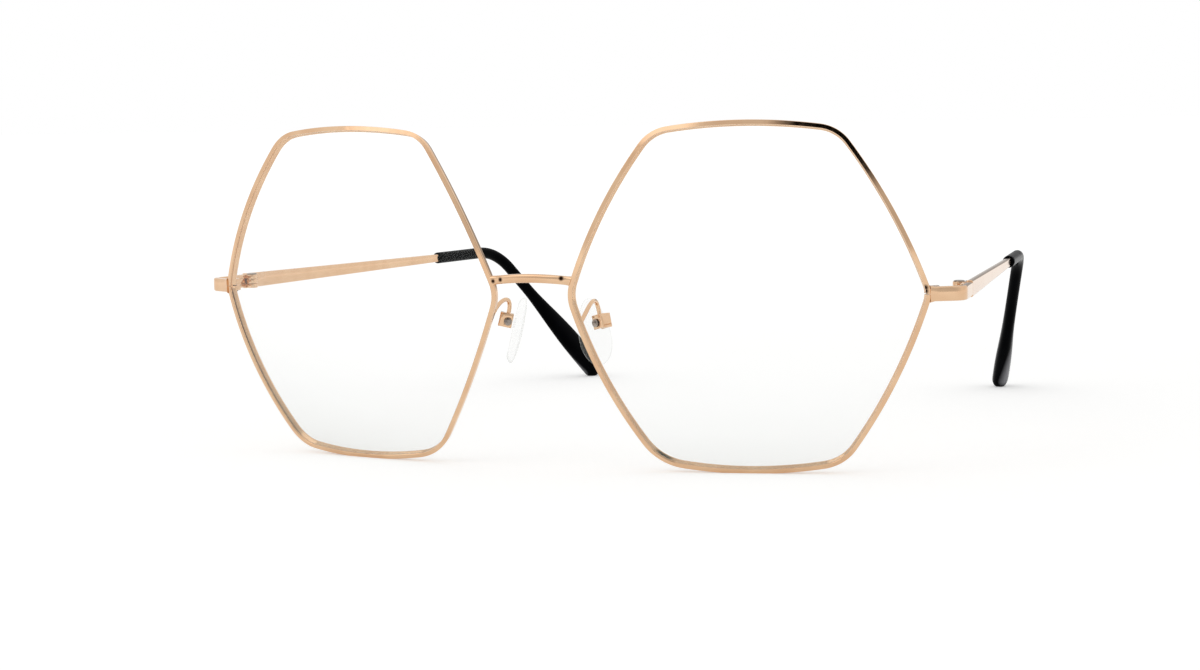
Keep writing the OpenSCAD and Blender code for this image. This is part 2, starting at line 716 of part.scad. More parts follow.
module hinge_rear(side) {
  color(gold)
    on_side(side)
      on_hinge() {
        hinge_leaf(1);
        knuckle(1, 1, run_clear);
      }
}

module hinge_screw(side) {
  color(steel)
    on_side(side)
      on_hinge()
        translate([hinge_axis_x, 0, 0])
          difference() {
            union() {
              translate([0, 0, -hinge_half_h])
                cylinder(h = 2 * hinge_half_h, d = hinge_screw_d, $fn = fine);
              translate([0, 0, hinge_half_h])
                cylinder(h = hinge_head_h, d = hinge_head_d, $fn = fine);
            }
            screw_slot(hinge_half_h + hinge_head_h, hinge_head_d);
          }
}

module temple_bar(side) {
  color(gold)
    on_side(side)
      loft([for (s = bar_ring_at) bar_ring(s, 0)]);
}

// The hollow for the core and the outside of the tip are one run of rings, turned over at the mouth
module temple_tip(side) {
  hollow_at = [for (s = bar_ring_at) if (s >= tip_start) s];
  last = len(hollow_at) - 1;
  hollow = [for (k = [last : -1 : 0])
    let (s = hollow_at[k], beyond = k == last ? core_clear : 0)
    [for (p = bar_ring(s, core_clear)) p + heading(s) * beyond]];
  color(black)
    difference() {
      on_side(side)
        loft(concat(hollow, tip_rings), [temple_point(temple_end)]);
      table();
    }
}

module pad_arm(side) {
  color(gold)
    on_side(side)
      loft([for (k = [0 : arm_steps])
        let (t = k / arm_steps, way = k == 0 ? arm_foot[2] : bezier_way(arm_bend, t))
        wire_ring(bezier(arm_bend, t), way, pad_wire_d)]);
}

module pad_box(side) {
  color(gold)
    on_side(side)
      on_pad()
        difference() {
          translate([pad_box_front, -pad_box_half, pad_box_low])
            cube([pad_box_outer - pad_box_front, 2 * pad_box_half, pad_box_h]);
          translate([pad_box_front - 1, -pad_box_half + pad_box_wall, pad_box_low - 1])
            cube([pad_box_inner - pad_box_front + 1, 2 * (pad_box_half - pad_box_wall), 1 + pad_box_h - pad_lid]);
          translate([pad_box_front - 1, -pad_box_half + pad_box_wall, pad_box_low])
            cube([pad_lid_front - pad_box_front + 1, 2 * (pad_box_half - pad_box_wall), pad_box_h + 1]);
          rotate([-90, 0, 0])
            translate([0, 0, -pad_box_half - 1])
              cylinder(h = 2 * pad_box_half + 2, r = pad_screw_d / 2 + thread_clear, $fn = fine);
        }
}

module pad_screw(side) {
  head_h = 0.35;
  color(steel)
    on_side(side)
      on_pad()
        rotate([90, 0, 0])
          difference() {
            union() {
              translate([0, 0, -pad_box_half])
                cylinder(h = 2 * pad_box_half, d = pad_screw_d, $fn = fine);
              translate([0, 0, pad_box_half])
                cylinder(h = head_h, d = pad_head_d, $fn = fine);
            }
            screw_slot(pad_box_half + head_h, pad_head_d);
          }
}

module nose_pad(side) {
  color(clear, 0.5)
    on_side(side)
      on_pad()
        difference() {
          union() {
            loft([for (r = pad_rings) pad_ring(pad_back_x - pad_t * r[0], r[1])],
              [[pad_back_x, 0, pad_mid_z], [pad_back_x - pad_t, 0, pad_mid_z]]);
            translate([pad_back_x - pad_t / 2, -pad_tab_t / 2, -pad_tab_r])
              cube([-pad_back_x + pad_t / 2, pad_tab_t, 2 * pad_tab_r]);
            rotate([-90, 0, 0])
              cylinder(h = pad_tab_t, r = pad_tab_r, center = true, $fn = fine);
          }
          rotate([-90, 0, 0])
            cylinder(h = pad_tab_t + 2, r = pad_screw_d / 2 + run_clear, center = true, $fn = fine);
        }
}

rim(left);  // rim_left
rim(right);  // rim_right
lens(left);  // lens_left
lens(right);  // lens_right
lock_half(left, 1, thread_clear);  // lock_upper_left
lock_half(right, 1, thread_clear);  // lock_upper_right
lock_half(left, -1, run_clear);  // lock_lower_left
lock_half(right, -1, run_clear);  // lock_lower_right
lock_screw(left);  // lock_screw_left
lock_screw(right);  // lock_screw_right
bridge();
endpiece(left);  // endpiece_left
endpiece(right);  // endpiece_right
hinge_front(left);  // hinge_front_left
hinge_front(right);  // hinge_front_right
hinge_rear(left);  // hinge_rear_left
hinge_rear(right);  // hinge_rear_right
hinge_screw(left);  // hinge_screw_left
hinge_screw(right);  // hinge_screw_right
temple_bar(left);  // temple_bar_left
temple_bar(right);  // temple_bar_right
temple_tip(left);  // temple_tip_left
temple_tip(right);  // temple_tip_right
pad_arm(left);  // pad_arm_left
pad_arm(right);  // pad_arm_right
pad_box(left);  // pad_box_left
pad_box(right);  // pad_box_right
pad_screw(left);  // pad_screw_left
pad_screw(right);  // pad_screw_right
nose_pad(left);  // nose_pad_left
nose_pad(right);  // nose_pad_right
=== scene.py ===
# Sunglasses with six-sided lenses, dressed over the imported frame. Sizes are in millimetres here.
import math

import bmesh
import bpy
import numpy as np
from mathutils import Matrix, Vector


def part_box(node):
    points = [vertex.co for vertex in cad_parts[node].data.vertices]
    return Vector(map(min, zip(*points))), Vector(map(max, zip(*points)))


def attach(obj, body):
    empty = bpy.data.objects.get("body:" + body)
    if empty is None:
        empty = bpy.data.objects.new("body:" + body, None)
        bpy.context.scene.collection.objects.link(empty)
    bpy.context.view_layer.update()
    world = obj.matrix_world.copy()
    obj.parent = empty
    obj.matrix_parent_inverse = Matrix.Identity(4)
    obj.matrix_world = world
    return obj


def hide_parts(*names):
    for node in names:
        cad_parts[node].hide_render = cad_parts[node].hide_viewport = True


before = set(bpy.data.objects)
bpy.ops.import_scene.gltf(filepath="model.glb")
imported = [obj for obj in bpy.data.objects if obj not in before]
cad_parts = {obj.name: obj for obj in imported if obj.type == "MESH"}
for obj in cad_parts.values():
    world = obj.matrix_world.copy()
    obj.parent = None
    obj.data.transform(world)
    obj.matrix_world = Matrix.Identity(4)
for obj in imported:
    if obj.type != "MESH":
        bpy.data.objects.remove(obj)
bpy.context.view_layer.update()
scene = bpy.context.scene
mm = 0.001
sides = {"left": 1.0, "right": -1.0}  # the wearer's sides, with the sign of x
mergeGap = 0.0005  # points nearer to each other than this are one point


def newObject(name, data):
    obj = bpy.data.objects.new(name, data)
    scene.collection.objects.link(obj)
    return obj


# the photograph's view, fitted to the rims and the temples
cameraSet = {
    "azimuth": 22.63, "elevation": 5.39, "roll": 1.12, "distance": 440.8, "target": (12.56, -73.1, 24.92),
    "focalPixels": 2456.2, "frameWidth": 1200, "sensor": 36.0, "nearest": 10.0, "farthest": 50000.0,
}


def makeCamera(s):
    az, el, roll = (math.radians(s[k]) for k in ("azimuth", "elevation", "roll"))
    back = Vector((math.sin(az) * math.cos(el), -math.cos(az) * math.cos(el), math.sin(el)))
    right = Vector((math.cos(az), math.sin(az), 0.0))
    up = back.cross(right)
    across = right * math.cos(roll) - up * math.sin(roll)
    upright = right * math.sin(roll) + up * math.cos(roll)
    data = bpy.data.cameras.new("studioCamera")
    data.sensor_width = s["sensor"]
    data.lens = s["focalPixels"] * s["sensor"] / s["frameWidth"]
    data.clip_start = s["nearest"] * mm
    data.clip_end = s["farthest"] * mm
    camera = newObject("studioCamera", data)
    place = Matrix((across, upright, back)).transposed().to_4x4()
    place.translation = (Vector(s["target"]) + back * s["distance"]) * mm
    camera.matrix_world = place
    scene.camera = camera


makeCamera(cameraSet)
print("camera set")


def colour(hexCode):
    # an sRGB hex value as linear light
    parts = [int(hexCode[i:i + 2], 16) / 255 for i in (1, 3, 5)]
    return tuple(c / 12.92 if c <= 0.04045 else ((c + 0.055) / 1.055) ** 2.4 for c in parts) + (1.0,)


def addNode(tree, kind, settings=None, values=None, links=None):
    # a link comes from a socket, or from a node, and then from its first output in use
    node = tree.nodes.new(kind)
    for name, value in (settings or {}).items():
        setattr(node, name, value)
    for name, value in (values or {}).items():
        node.inputs[name].default_value = value
    for name, source in (links or {}).items():
        if isinstance(source, bpy.types.Node):
            source = next(socket for socket in source.outputs if socket.enabled)
        tree.links.new(source, node.inputs[name])
    return node


def newMaterial(name):
    material = bpy.data.materials.new(name)
    material.use_nodes = True
    tree = material.node_tree
    tree.nodes.clear()
    return material, tree, addNode(tree, "ShaderNodeTexCoord").outputs["Object"]


# every pattern is soft noise: how it is made, and the part of its range that shows
patternNoise = {"Detail": 2.0, "Roughness": 0.55}
patternRange = {"From Min": 0.3, "From Max": 0.7}


def finishPattern(tree, coords, s):
    # a broad pattern that shifts the colour, and a fine one that gives the roughness and the relief
    broad, fine = (
        addNode(
            tree, "ShaderNodeTexNoise",
            values={
                **patternNoise, "Scale": 1 / (s[name + "Mm"] * mm),
                "Detail": s.get(name + "Detail", patternNoise["Detail"]),
            },
            links={"Vector": coords})
        for name in ("broad", "fine"))
    shift = addNode(tree, "ShaderNodeMapRange", values=patternRange, links={"Value": broad})
    tint = addNode(
        tree, "ShaderNodeMix", {"data_type": "RGBA"},
        {"A": colour(s["main"]), "B": colour(s["second"])}, {"Factor": shift})
    rough = addNode(
        tree, "ShaderNodeMapRange",
        values={**patternRange, "To Min": s["roughLow"], "To Max": s["roughHigh"]}, links={"Value": fine})
    relief = addNode(
        tree, "ShaderNodeBump", values={"Strength": s["bump"], "Distance": s["depthMm"] * mm},
        links={"Height": fine})
    return {"Base Color": tint, "Roughness": rough, "Normal": relief}


paintedSpotEdge = (0.6, 1.3)  # where a painted spot of shade or reflection begins and ends to fade, as parts of its radius


def nearestOnRun(tree, coords, spot, run):
    # the point nearest to the shaded one on a line that starts at the spot
    length = float(np.linalg.norm(run)) * mm
    axis = [c * mm / length for c in run]
    offset = addNode(tree, "ShaderNodeVectorMath", {"operation": "SUBTRACT"}, {1: spot}, {0: coords})
    reach = addNode(tree, "ShaderNodeVectorMath", {"operation": "DOT_PRODUCT"}, {1: axis}, {0: offset})
    held = addNode(
        tree, "ShaderNodeMapRange",
        values={"From Min": 0.0, "From Max": length, "To Min": 0.0, "To Max": length}, links={"Value": reach})
    slid = addNode(tree, "ShaderNodeVectorMath", {"operation": "SCALE"}, {0: axis}, {"Scale": held})
    return addNode(tree, "ShaderNodeVectorMath", {"operation": "ADD"}, {1: spot}, {0: slid})


def addPaintedSpots(tree, coords, plain, spotColour, paintedSpots):
    # each painted spot of shade or reflection is soft and round, or a streak where it has a run
    mask = None
    for node, corner, inset, radius, *run in paintedSpots:
        low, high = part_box(node)
        spot = [(high if c > 0 else low)[k] - c * inset[k] * mm for k, c in enumerate(corner)]
        centre = {1: nearestOnRun(tree, coords, spot, run[0])} if run else {}
        apart = addNode(
            tree, "ShaderNodeVectorMath", {"operation": "DISTANCE"}, {1: spot}, {0: coords, **centre})
        near, far = (radius * part * mm for part in paintedSpotEdge)
        spotMask = addNode(
            tree, "ShaderNodeMapRange",
            values={"From Min": near, "From Max": far, "To Min": 1.0, "To Max": 0.0}, links={"Value": apart})
        if mask:
            spotMask = addNode(tree, "ShaderNodeMath", {"operation": "MAXIMUM"}, links={0: mask, 1: spotMask})
        mask = spotMask
    return addNode(
        tree, "ShaderNodeMix", {"data_type": "RGBA"}, {"B": colour(spotColour)},
        {"Factor": mask, "A": plain})


roseGoldSet = {
    # the dark brown below is painted shade for the solder joints, not a stain on the metal
    "main": "#e3c09d", "second": "#d9b18d", "jointShade": "#24140c", "roughLow": 0.07, "roughHigh": 0.13,
    "broadMm": 6.0, "fineMm": 0.9, "fineDetail": 1.0, "depthMm": 0.004, "bump": 0.5,
    # painted shade in the solder fillets: node, corner of its box, distance in from that corner, radius
    "paintedSpots": (
        ("bridge", (-1, -1, 1), (2.2, 0.6, 1.1), 0.42),
        ("bridge", (-1, -1, 1), (0.6, 0.95, 1.4), 0.42),
        ("bridge", (1, -1, 1), (1.95, 0.65, 0.76), 0.45),
        ("endpiece_left", (-1, -1, 1), (-0.45, -0.2, 0.15), 0.55),
        ("endpiece_left", (-1, -1, 1), (-0.45, -0.2, 0.75), 0.55),
    ),
}


def makeRoseGold(s):
    # thin rose-gold plate over polished wire: bright, warm and faintly uneven from the polishing wheel, with
    # painted shade at the solder joints
    material, tree, coords = newMaterial("polishedRoseGoldPlate")
    finish = finishPattern(tree, coords, s)
    # painted shade: dark spots at the bridge ends and where the left endpiece meets its rim
    finish["Base Color"] = addPaintedSpots(tree, coords, finish["Base Color"], s["jointShade"], s["paintedSpots"])
    shader = addNode(tree, "ShaderNodeBsdfPrincipled", values={"Metallic": 1.0}, links=finish)
    addNode(tree, "ShaderNodeOutputMaterial", links={"Surface": shader})
    return material


screwSteelSet = {
    "main": "#b3a89f", "second": "#6f665f", "roughLow": 0.24, "roughHigh": 0.38,
    "broadMm": 1.2, "fineMm": 0.08, "fineDetail": 1.0, "depthMm": 0.003, "bump": 0.7,
}


def makeScrewSteel(s):
    # turned steel: fine tool marks that make the heads greyer and duller than the plate round them
    material, tree, coords = newMaterial("turnedScrewSteel")
    shader = addNode(
        tree, "ShaderNodeBsdfPrincipled", values={"Metallic": 1.0}, links=finishPattern(tree, coords, s))
    addNode(tree, "ShaderNodeOutputMaterial", links={"Surface": shader})
    return material


lensSet = {
    "upper": "#f3f8f5", "lower": "#a9b8ab", "from": -8.0, "to": 24.0, "ior": 1.5,
    "wipeMm": 18.0, "roughLow": 0.02, "roughHigh": 0.05,
    "alphaLow": 0.11, "alphaHigh": 0.012, "alphaEdge": 0.3, "edgeBlend": 0.22, "edgeFrom": 0.1,
}


def makeLensPlastic(s):
    # cast lens resin: almost no colour, a breath of grey-green below, and a sheen only at a grazing angle
    material, tree, coords = newMaterial("castLensResin")
    height = addNode(tree, "ShaderNodeSeparateXYZ", links={"Vector": coords}).outputs["Z"]
    rise = addNode(
        tree, "ShaderNodeMapRange", {"interpolation_type": "SMOOTHSTEP"},
        {"From Min": s["from"] * mm, "From Max": s["to"] * mm}, {"Value": height})
    tint = addNode(
        tree, "ShaderNodeMix", {"data_type": "RGBA"},
        {"A": colour(s["lower"]), "B": colour(s["upper"])}, {"Factor": rise})
    wipe = addNode(
        tree, "ShaderNodeTexNoise", values={**patternNoise, "Scale": 1 / (s["wipeMm"] * mm)},
        links={"Vector": coords})
    rough = addNode(
        tree, "ShaderNodeMapRange",
        values={**patternRange, "To Min": s["roughLow"], "To Max": s["roughHigh"]}, links={"Value": wipe})
    body = addNode(
        tree, "ShaderNodeMapRange", values={"To Min": s["alphaLow"], "To Max": s["alphaHigh"]},
        links={"Value": rise})
    facing = addNode(tree, "ShaderNodeLayerWeight", values={"Blend": s["edgeBlend"]}).outputs["Facing"]
    edge = addNode(
        tree, "ShaderNodeMapRange", values={"From Min": s["edgeFrom"], "To Max": s["alphaEdge"]},
        links={"Value": facing})
    alpha = addNode(tree, "ShaderNodeMath", {"operation": "ADD"}, links={0: body, 1: edge})
    shader = addNode(
        tree, "ShaderNodeBsdfPrincipled", values={"IOR": s["ior"]},
        links={"Base Color": tint, "Roughness": rough, "Alpha": alpha})
    addNode(tree, "ShaderNodeOutputMaterial", links={"Surface": shader})
    return material


padSet = {
    "main": "#eef1ee", "second": "#d9ded9", "roughLow": 0.06, "roughHigh": 0.14, "ior": 1.41,
    "broadMm": 3.0, "fineMm": 0.25, "depthMm": 0.01, "bump": 0.3,
    "alphaFace": 0.05, "alphaEdge": 0.5, "edgeBlend": 0.35, "edgeFrom": 0.35,
}


def makePadSilicone(s):
    # moulded clear silicone: soft, slightly cloudy, with greyer rims where it bends the light
    material, tree, coords = newMaterial("mouldedClearSilicone")
    facing = addNode(tree, "ShaderNodeLayerWeight", values={"Blend": s["edgeBlend"]}).outputs["Facing"]
    alpha = addNode(
        tree, "ShaderNodeMapRange",
        values={"From Min": s["edgeFrom"], "To Min": s["alphaFace"], "To Max": s["alphaEdge"]},
        links={"Value": facing})
    shader = addNode(
        tree, "ShaderNodeBsdfPrincipled", values={"IOR": s["ior"]},
        links={**finishPattern(tree, coords, s), "Alpha": alpha})
    addNode(tree, "ShaderNodeOutputMaterial", links={"Surface": shader})
    return material


tipSet = {
    # the grey below is a painted reflection on the lower end of each tip, not wear
    "main": "#010102", "second": "#040507", "paddleSheen": "#88888c", "roughLow": 0.16, "roughHigh": 0.24,
    "broadMm": 5.0, "fineMm": 0.8, "fineDetail": 3.0, "depthMm": 0.005, "bump": 0.4,
    "ior": 1.47, "gloss": 0.012,
    # the painted grey reflection streaked along a tip's end: its start in from the inner back corner, its
    # radius and run
    "sheenStart": (4.3, 4.9, 1.2), "sheenRadius": 2.0, "sheenRun": (5.2, 9.0, 9.0),
}


def makeBlackAcetate(s):
    # buffed black acetate: deep black with a soft gloss, faint buffing waves and a painted grey reflection
    # along the end
    material, tree, coords = newMaterial("buffedBlackAcetate")
    finish = finishPattern(tree, coords, s)
    out, back, up = s["sheenRun"]
    sheens = [
        ("temple_tip_" + side, (-sign, 1, -1), s["sheenStart"], s["sheenRadius"], (out * sign, -back, up))
        for side, sign in sides.items()]
    # painted reflection: a grey streak on each tip's end in place of the gloss seen there
    finish["Base Color"] = addPaintedSpots(tree, coords, finish["Base Color"], s["paddleSheen"], sheens)
    shader = addNode(
        tree, "ShaderNodeBsdfPrincipled", values={"IOR": s["ior"], "Specular IOR Level": s["gloss"]},
        links=finish)
    addNode(tree, "ShaderNodeOutputMaterial", links={"Surface": shader})
    return material


roseGold = makeRoseGold(roseGoldSet)
screwSteel = makeScrewSteel(screwSteelSet)
lensPlastic = makeLensPlastic(lensSet)
padSilicone = makePadSilicone(padSet)
blackAcetate = makeBlackAcetate(tipSet)
print("materials made")


def cleanMesh(mesh):
    # one point where several meet, and every face turned outwards
    bm = bmesh.new()
    bm.from_mesh(mesh)
    bmesh.ops.remove_doubles(bm, verts=bm.verts, dist=mergeGap * mm)
    bmesh.ops.recalc_face_normals(bm, faces=bm.faces)
    bm.to_mesh(mesh)
    bm.free()


def finishPiece(obj, material, body, nodes, sharpAngle=35.0):
    mesh = obj.data
    cleanMesh(mesh)
    mesh.shade_smooth()
    mesh.set_sharp_from_angle(angle=math.radians(sharpAngle))
    mesh.materials.clear()
    mesh.materials.append(material)
    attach(obj, body)
    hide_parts(*nodes)


def meshObject(name, points, faces):
    mesh = bpy.data.meshes.new(name)
    mesh.from_pydata([tuple(np.asarray(p) * mm) for p in points], [], faces)
    mesh.update()
    return newObject(name, mesh)


def joined(name, objects):
    bm = bmesh.new()
    for obj in objects:
        bm.from_mesh(obj.data)
        bpy.data.objects.remove(obj)
    mesh = bpy.data.meshes.new(name)
    bm.to_mesh(mesh)
    bm.free()
    return newObject(name, mesh)


def laidFlat(obj):
    # the worn flat where a piece stands on the table
    bm = bmesh.new()
    bm.from_mesh(obj.data)
    bmesh.ops.remove_doubles(bm, verts=bm.verts, dist=mergeGap * mm)
    bmesh.ops.bisect_plane(
        bm, geom=bm.verts[:] + bm.edges[:] + bm.faces[:], plane_co=(0, 0, 0), plane_no=(0, 0, -1),
        clear_outer=True)
    bmesh.ops.holes_fill(bm, edges=[e for e in bm.edges if e.is_boundary], sides=0)
    bm.to_mesh(obj.data)
    bm.free()


def loft(name, rings, closed=False):
    # a skin over rings of equal length, with capped ends unless the last ring joins the first
    count = len(rings[0])
    rows = len(rings)
    points = [p for ring in rings for p in ring]
    faces = []
    for j in range(rows if closed else rows - 1):
        a, b = j * count, (j + 1) % rows * count
        faces += [(a + k, a + (k + 1) % count, b + (k + 1) % count, b + k) for k in range(count)]
    if not closed:
        faces.append(tuple(range(count))[::-1])
        faces.append(tuple(range((rows - 1) * count, rows * count)))
    return meshObject(name, points, faces)


def frozen(obj, name):
    # the evaluated object as a plain mesh, with its modifiers gone
    mesh = bpy.data.meshes.new_from_object(obj.evaluated_get(bpy.context.evaluated_depsgraph_get()))
    bpy.data.objects.remove(obj)
    return newObject(name, mesh)


def unit(v):
    return v / np.linalg.norm(v)


def mirrored(points, sign):
    return [np.array([p[0] * sign, p[1], p[2]]) for p in points]


def roundedSection(width, depth, radius, steps=4):
    section = []
    for cx, cy, start in ((1, 1, 0), (-1, 1, 90), (-1, -1, 180), (1, -1, 270)):
        for k in range(steps + 1):
            a = math.radians(start + 90 * k / steps)
            section.append((
                cx * (width / 2 - radius) + radius * math.cos(a),
                cy * (depth / 2 - radius) + radius * math.sin(a),
            ))
    return section


def ringAt(point, first, second, section):
    return [point + first * x + second * y for x, y in section]


# the outline of a lens, how the front stands, and the rim round the lens
lensShape = {
    "width": 64.0, "height": 59.0, "flat": 32.9, "sideRise": 0.6, "cant": 0.6, "sideBow": 1.45,
    "cornerRadii": (4.5, 7.2, 7.2, 6.7, 9.8, 7.8),  # temple, top, top, nose, low nose, low temple
    "curveRadius": 100.0, "thickness": 1.2, "ridgeDepth": 0.4, "ridgeHalf": 0.4,
    "cornerSteps": 12, "sideSteps": 16,
    "faceParts": (0.002, 0.15, 0.3, 0.45, 0.6, 0.74, 0.86, 0.95),  # how far out the rings of a face lie
}
frontShape = {"wrap": 10.8, "lean": 3.6, "noseGap": 14.6}
rimShape = {
    "width": 0.85, "depth": 1.5, "lip": -0.35, "edgeRadius": 0.1, "edgeSteps": 5, "crown": 0.024,
    "chamfer": 0.15, "grooveHalf": 0.45, "grooveBottom": 0.05, "splitGap": 0.2,
    "cornerSteps": 16, "sideSteps": 22, "packedSteps": (6, 8),
    "edgeHold": 0.03, "lipEdge": 0.05,  # points this close to an edge keep the face beside it flat
}
rimOut = rimShape["lip"] + rimShape["width"]


def turned2(p, degrees):
    a = math.radians(degrees)
    return np.array([p[0] * math.cos(a) - p[1] * math.sin(a), p[0] * math.sin(a) + p[1] * math.cos(a)])


class Outline:
    # six bowed sides and six rounded corners, as arcs that meet without a kink
    def __init__(self, s):
        halfW, halfH, halfFlat = s["width"] / 2, s["height"] / 2, s["flat"] / 2
        raw = [
            (halfW, s["sideRise"]), (halfFlat, halfH), (-halfFlat, halfH),
            (-halfW, s["sideRise"]), (-halfFlat, -halfH), (halfFlat, -halfH),
        ]
        self.corners = [turned2(p, -s["cant"]) for p in raw]
        self.radii = s["cornerRadii"]
        self.bow = s["sideBow"]
        self.sides = [self.sideArc(i) for i in range(6)]
        self.centres = [self.cornerCentre(i) for i in range(6)]

    def sideArc(self, i):
        a, b = self.corners[i], self.corners[(i + 1) % 6]
        chord = b - a
        length = np.linalg.norm(chord)
        radius = (length ** 2 / 4 + self.bow ** 2) / (2 * self.bow)
        out = np.array([chord[1], -chord[0]]) / length
        return (a + b) / 2 - out * (radius - self.bow), radius

    def cornerCentre(self, i):
        (c1, r1), (c2, r2) = self.sides[i - 1], self.sides[i]
        r1, r2 = r1 - self.radii[i], r2 - self.radii[i]
        gap = c2 - c1
        d = np.linalg.norm(gap)
        along = (r1 * r1 - r2 * r2 + d * d) / (2 * d)
        rise = math.sqrt(max(0.0, r1 * r1 - along * along))
        foot = c1 + gap * along / d
        across = np.array([-gap[1], gap[0]]) * rise / d
        return min((foot + across, foot - across), key=lambda q: np.linalg.norm(q - self.corners[i]))

    def shortWay(self, start, end):
        return start, start + (end - start + 540) % 360 - 180  # never more than half a turn

    def cornerAngles(self, i):
        v, w = self.centres[i] - self.sides[i - 1][0], self.centres[i] - self.sides[i][0]
        return self.shortWay(*(math.degrees(math.atan2(q[1], q[0])) for q in (v, w)))

    def sideAngles(self, i):
        return self.shortWay(self.cornerAngles(i)[1], self.cornerAngles((i + 1) % 6)[0])

    def arc(self, centre, radius, start, end, steps, last=False):
        count = steps + 1 if last else steps
        return [(centre, radius, start + (end - start) * k / steps) for k in range(count)]

    def stations(self, cornerSteps, sideSteps, splitGap=0.0):
        # once round, from the middle of the temple corner, where the rim is split
        first = self.cornerAngles(0)
        middle = sum(first) / 2
        half = math.degrees(splitGap / 2 / self.radii[0])
        centre, radius, steps = self.centres[0], self.radii[0], cornerSteps // 2
        run = self.arc(centre, radius, middle + half, first[1], steps)
        for i in range(6):
            if i:
                start, end = self.cornerAngles(i)
                run += self.arc(self.centres[i], self.radii[i], start, end, cornerSteps)
            run += self.arc(*self.sides[i], *self.sideAngles(i), sideSteps)
        return run + self.arc(centre, radius, first[0], middle - half, steps, splitGap > 0)

    def atCorner(self, i, shift=0.0):
        return self.centres[i], self.radii[i], sum(self.cornerAngles(i)) / 2 + shift


outline = Outline(lensShape)


def stationFrame(station):
    # a point of the outline on the curved lens, with the ways out, back and along
    centre, radius, angle = station
    a = math.radians(angle)
    p = centre + np.array([math.cos(a), math.sin(a)]) * radius
    along2 = (-math.sin(a), math.cos(a))
    curve = lensShape["curveRadius"]
    fall = math.sqrt(curve ** 2 - p[0] ** 2 - p[1] ** 2)
    back = np.array([-p[0], fall, -p[1]]) / curve
    along = unit(np.array([along2[0], (p[0] * along2[0] + p[1] * along2[1]) / fall, along2[1]]))
    return np.array([p[0], curve - fall, p[1]]), np.cross(back, along), back, along


def turnAbout(axis, degrees):
    return np.array(Matrix.Rotation(math.radians(degrees), 3, axis))


frontTurn = turnAbout("X", frontShape["lean"]) @ turnAbout("Z", frontShape["wrap"])
halfLens = lensShape["width"] / 2
lensSag = lensShape["curveRadius"] - math.sqrt(lensShape["curveRadius"] ** 2 - halfLens ** 2)
wrapAngle = math.radians(frontShape["wrap"])
lensX = frontShape["noseGap"] / 2 + halfLens * math.cos(wrapAngle) + lensSag * math.sin(wrapAngle)
frontPlace = turnAbout("X", frontShape["lean"]) @ np.array([lensX, 0.0, 0.0])


def onFront(p):
    return frontTurn @ p + frontPlace


def placedFrame(station, outward, backward):
    point, out, back, along = stationFrame(station)
    place = onFront(point + out * outward + back * backward)
    return place, frontTurn @ out, frontTurn @ back, frontTurn @ along


def onStation(station, outward, backward):
    return placedFrame(station, outward, backward)[0]


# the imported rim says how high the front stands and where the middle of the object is
rimLow, rimHigh = (np.array(v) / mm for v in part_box("rim_left"))
halfDepth = rimShape["depth"] / 2
shortOut, shortDepth = rimOut - rimShape["chamfer"], halfDepth - rimShape["chamfer"]
packedCorners = (
    (shortOut, -halfDepth), (rimOut, -shortDepth), (rimOut, shortDepth), (shortOut, halfDepth))
packedStations = outline.stations(*rimShape["packedSteps"])
trial = np.array([onStation(s, o, d) for s in packedStations for o, d in packedCorners])
frontPlace = frontPlace + np.array([0.0, rimLow[1] - trial[:, 1].min(), rimHigh[2] - trial[:, 2].max()])


def newGeometryTree(name, sockets):
    # a tree with named inputs, one for each thing that it is given, and one mesh out
    tree = bpy.data.node_groups.new(name, "GeometryNodeTree")
    for label, kind in (("Geometry", "Geometry"), *sockets):
        tree.interface.new_socket(label, in_out="INPUT", socket_type="NodeSocket" + kind)
    tree.interface.new_socket("Geometry", in_out="OUTPUT", socket_type="NodeSocketGeometry")
    return tree, addNode(tree, "NodeGroupInput").outputs


def endGeometryTree(tree, shape, material):
    real = addNode(tree, "GeometryNodeRealizeInstances", links={"Geometry": shape})
    painted = addNode(tree, "GeometryNodeSetMaterial", links={"Geometry": real, "Material": material})
    addNode(tree, "NodeGroupOutput", links={"Geometry": painted})
    return tree


def makeSweepTree():
    # a section of unit size, scaled and drawn along a path whose points say which way is out
    tree, given = newGeometryTree("sweepAlongPath", (
        ("Section", "Object"), ("Section width", "Float"), ("Section depth", "Float"),
        ("Material", "Material")))
    path = addNode(tree, "GeometryNodeMeshToCurve", links={"Mesh": given["Geometry"]})
    outward = addNode(
        tree, "GeometryNodeInputNamedAttribute", {"data_type": "FLOAT_VECTOR"}, {"Name": "outward"})
    aimed = addNode(
        tree, "GeometryNodeSetCurveNormal", {"mode": "FREE"}, links={"Curve": path, "Normal": outward})
    section = addNode(tree, "GeometryNodeObjectInfo", links={"Object": given["Section"]})
    size = addNode(
        tree, "ShaderNodeCombineXYZ", values={"Z": 1.0},
        links={"X": given["Section width"], "Y": given["Section depth"]})
    scaled = addNode(
        tree, "GeometryNodeTransform", links={"Geometry": section.outputs["Geometry"], "Scale": size})
    profile = addNode(tree, "GeometryNodeMeshToCurve", links={"Mesh": scaled})
    swept = addNode(
        tree, "GeometryNodeCurveToMesh", values={"Fill Caps": True},
        links={"Curve": aimed, "Profile Curve": profile})
    return endGeometryTree(tree, swept, given["Material"])


sweepTree = makeSweepTree()


def runTree(obj, tree, values, name):
    # the tree's inputs are set by their identifiers before the object is first evaluated
    modifier = obj.modifiers.new("shape", "NODES")
    modifier.node_group = tree
    for item in tree.interface.items_tree:
        if item.item_type == "SOCKET" and item.in_out == "INPUT" and item.name in values:
            modifier[item.identifier] = values[item.name]
    return frozen(obj, name)


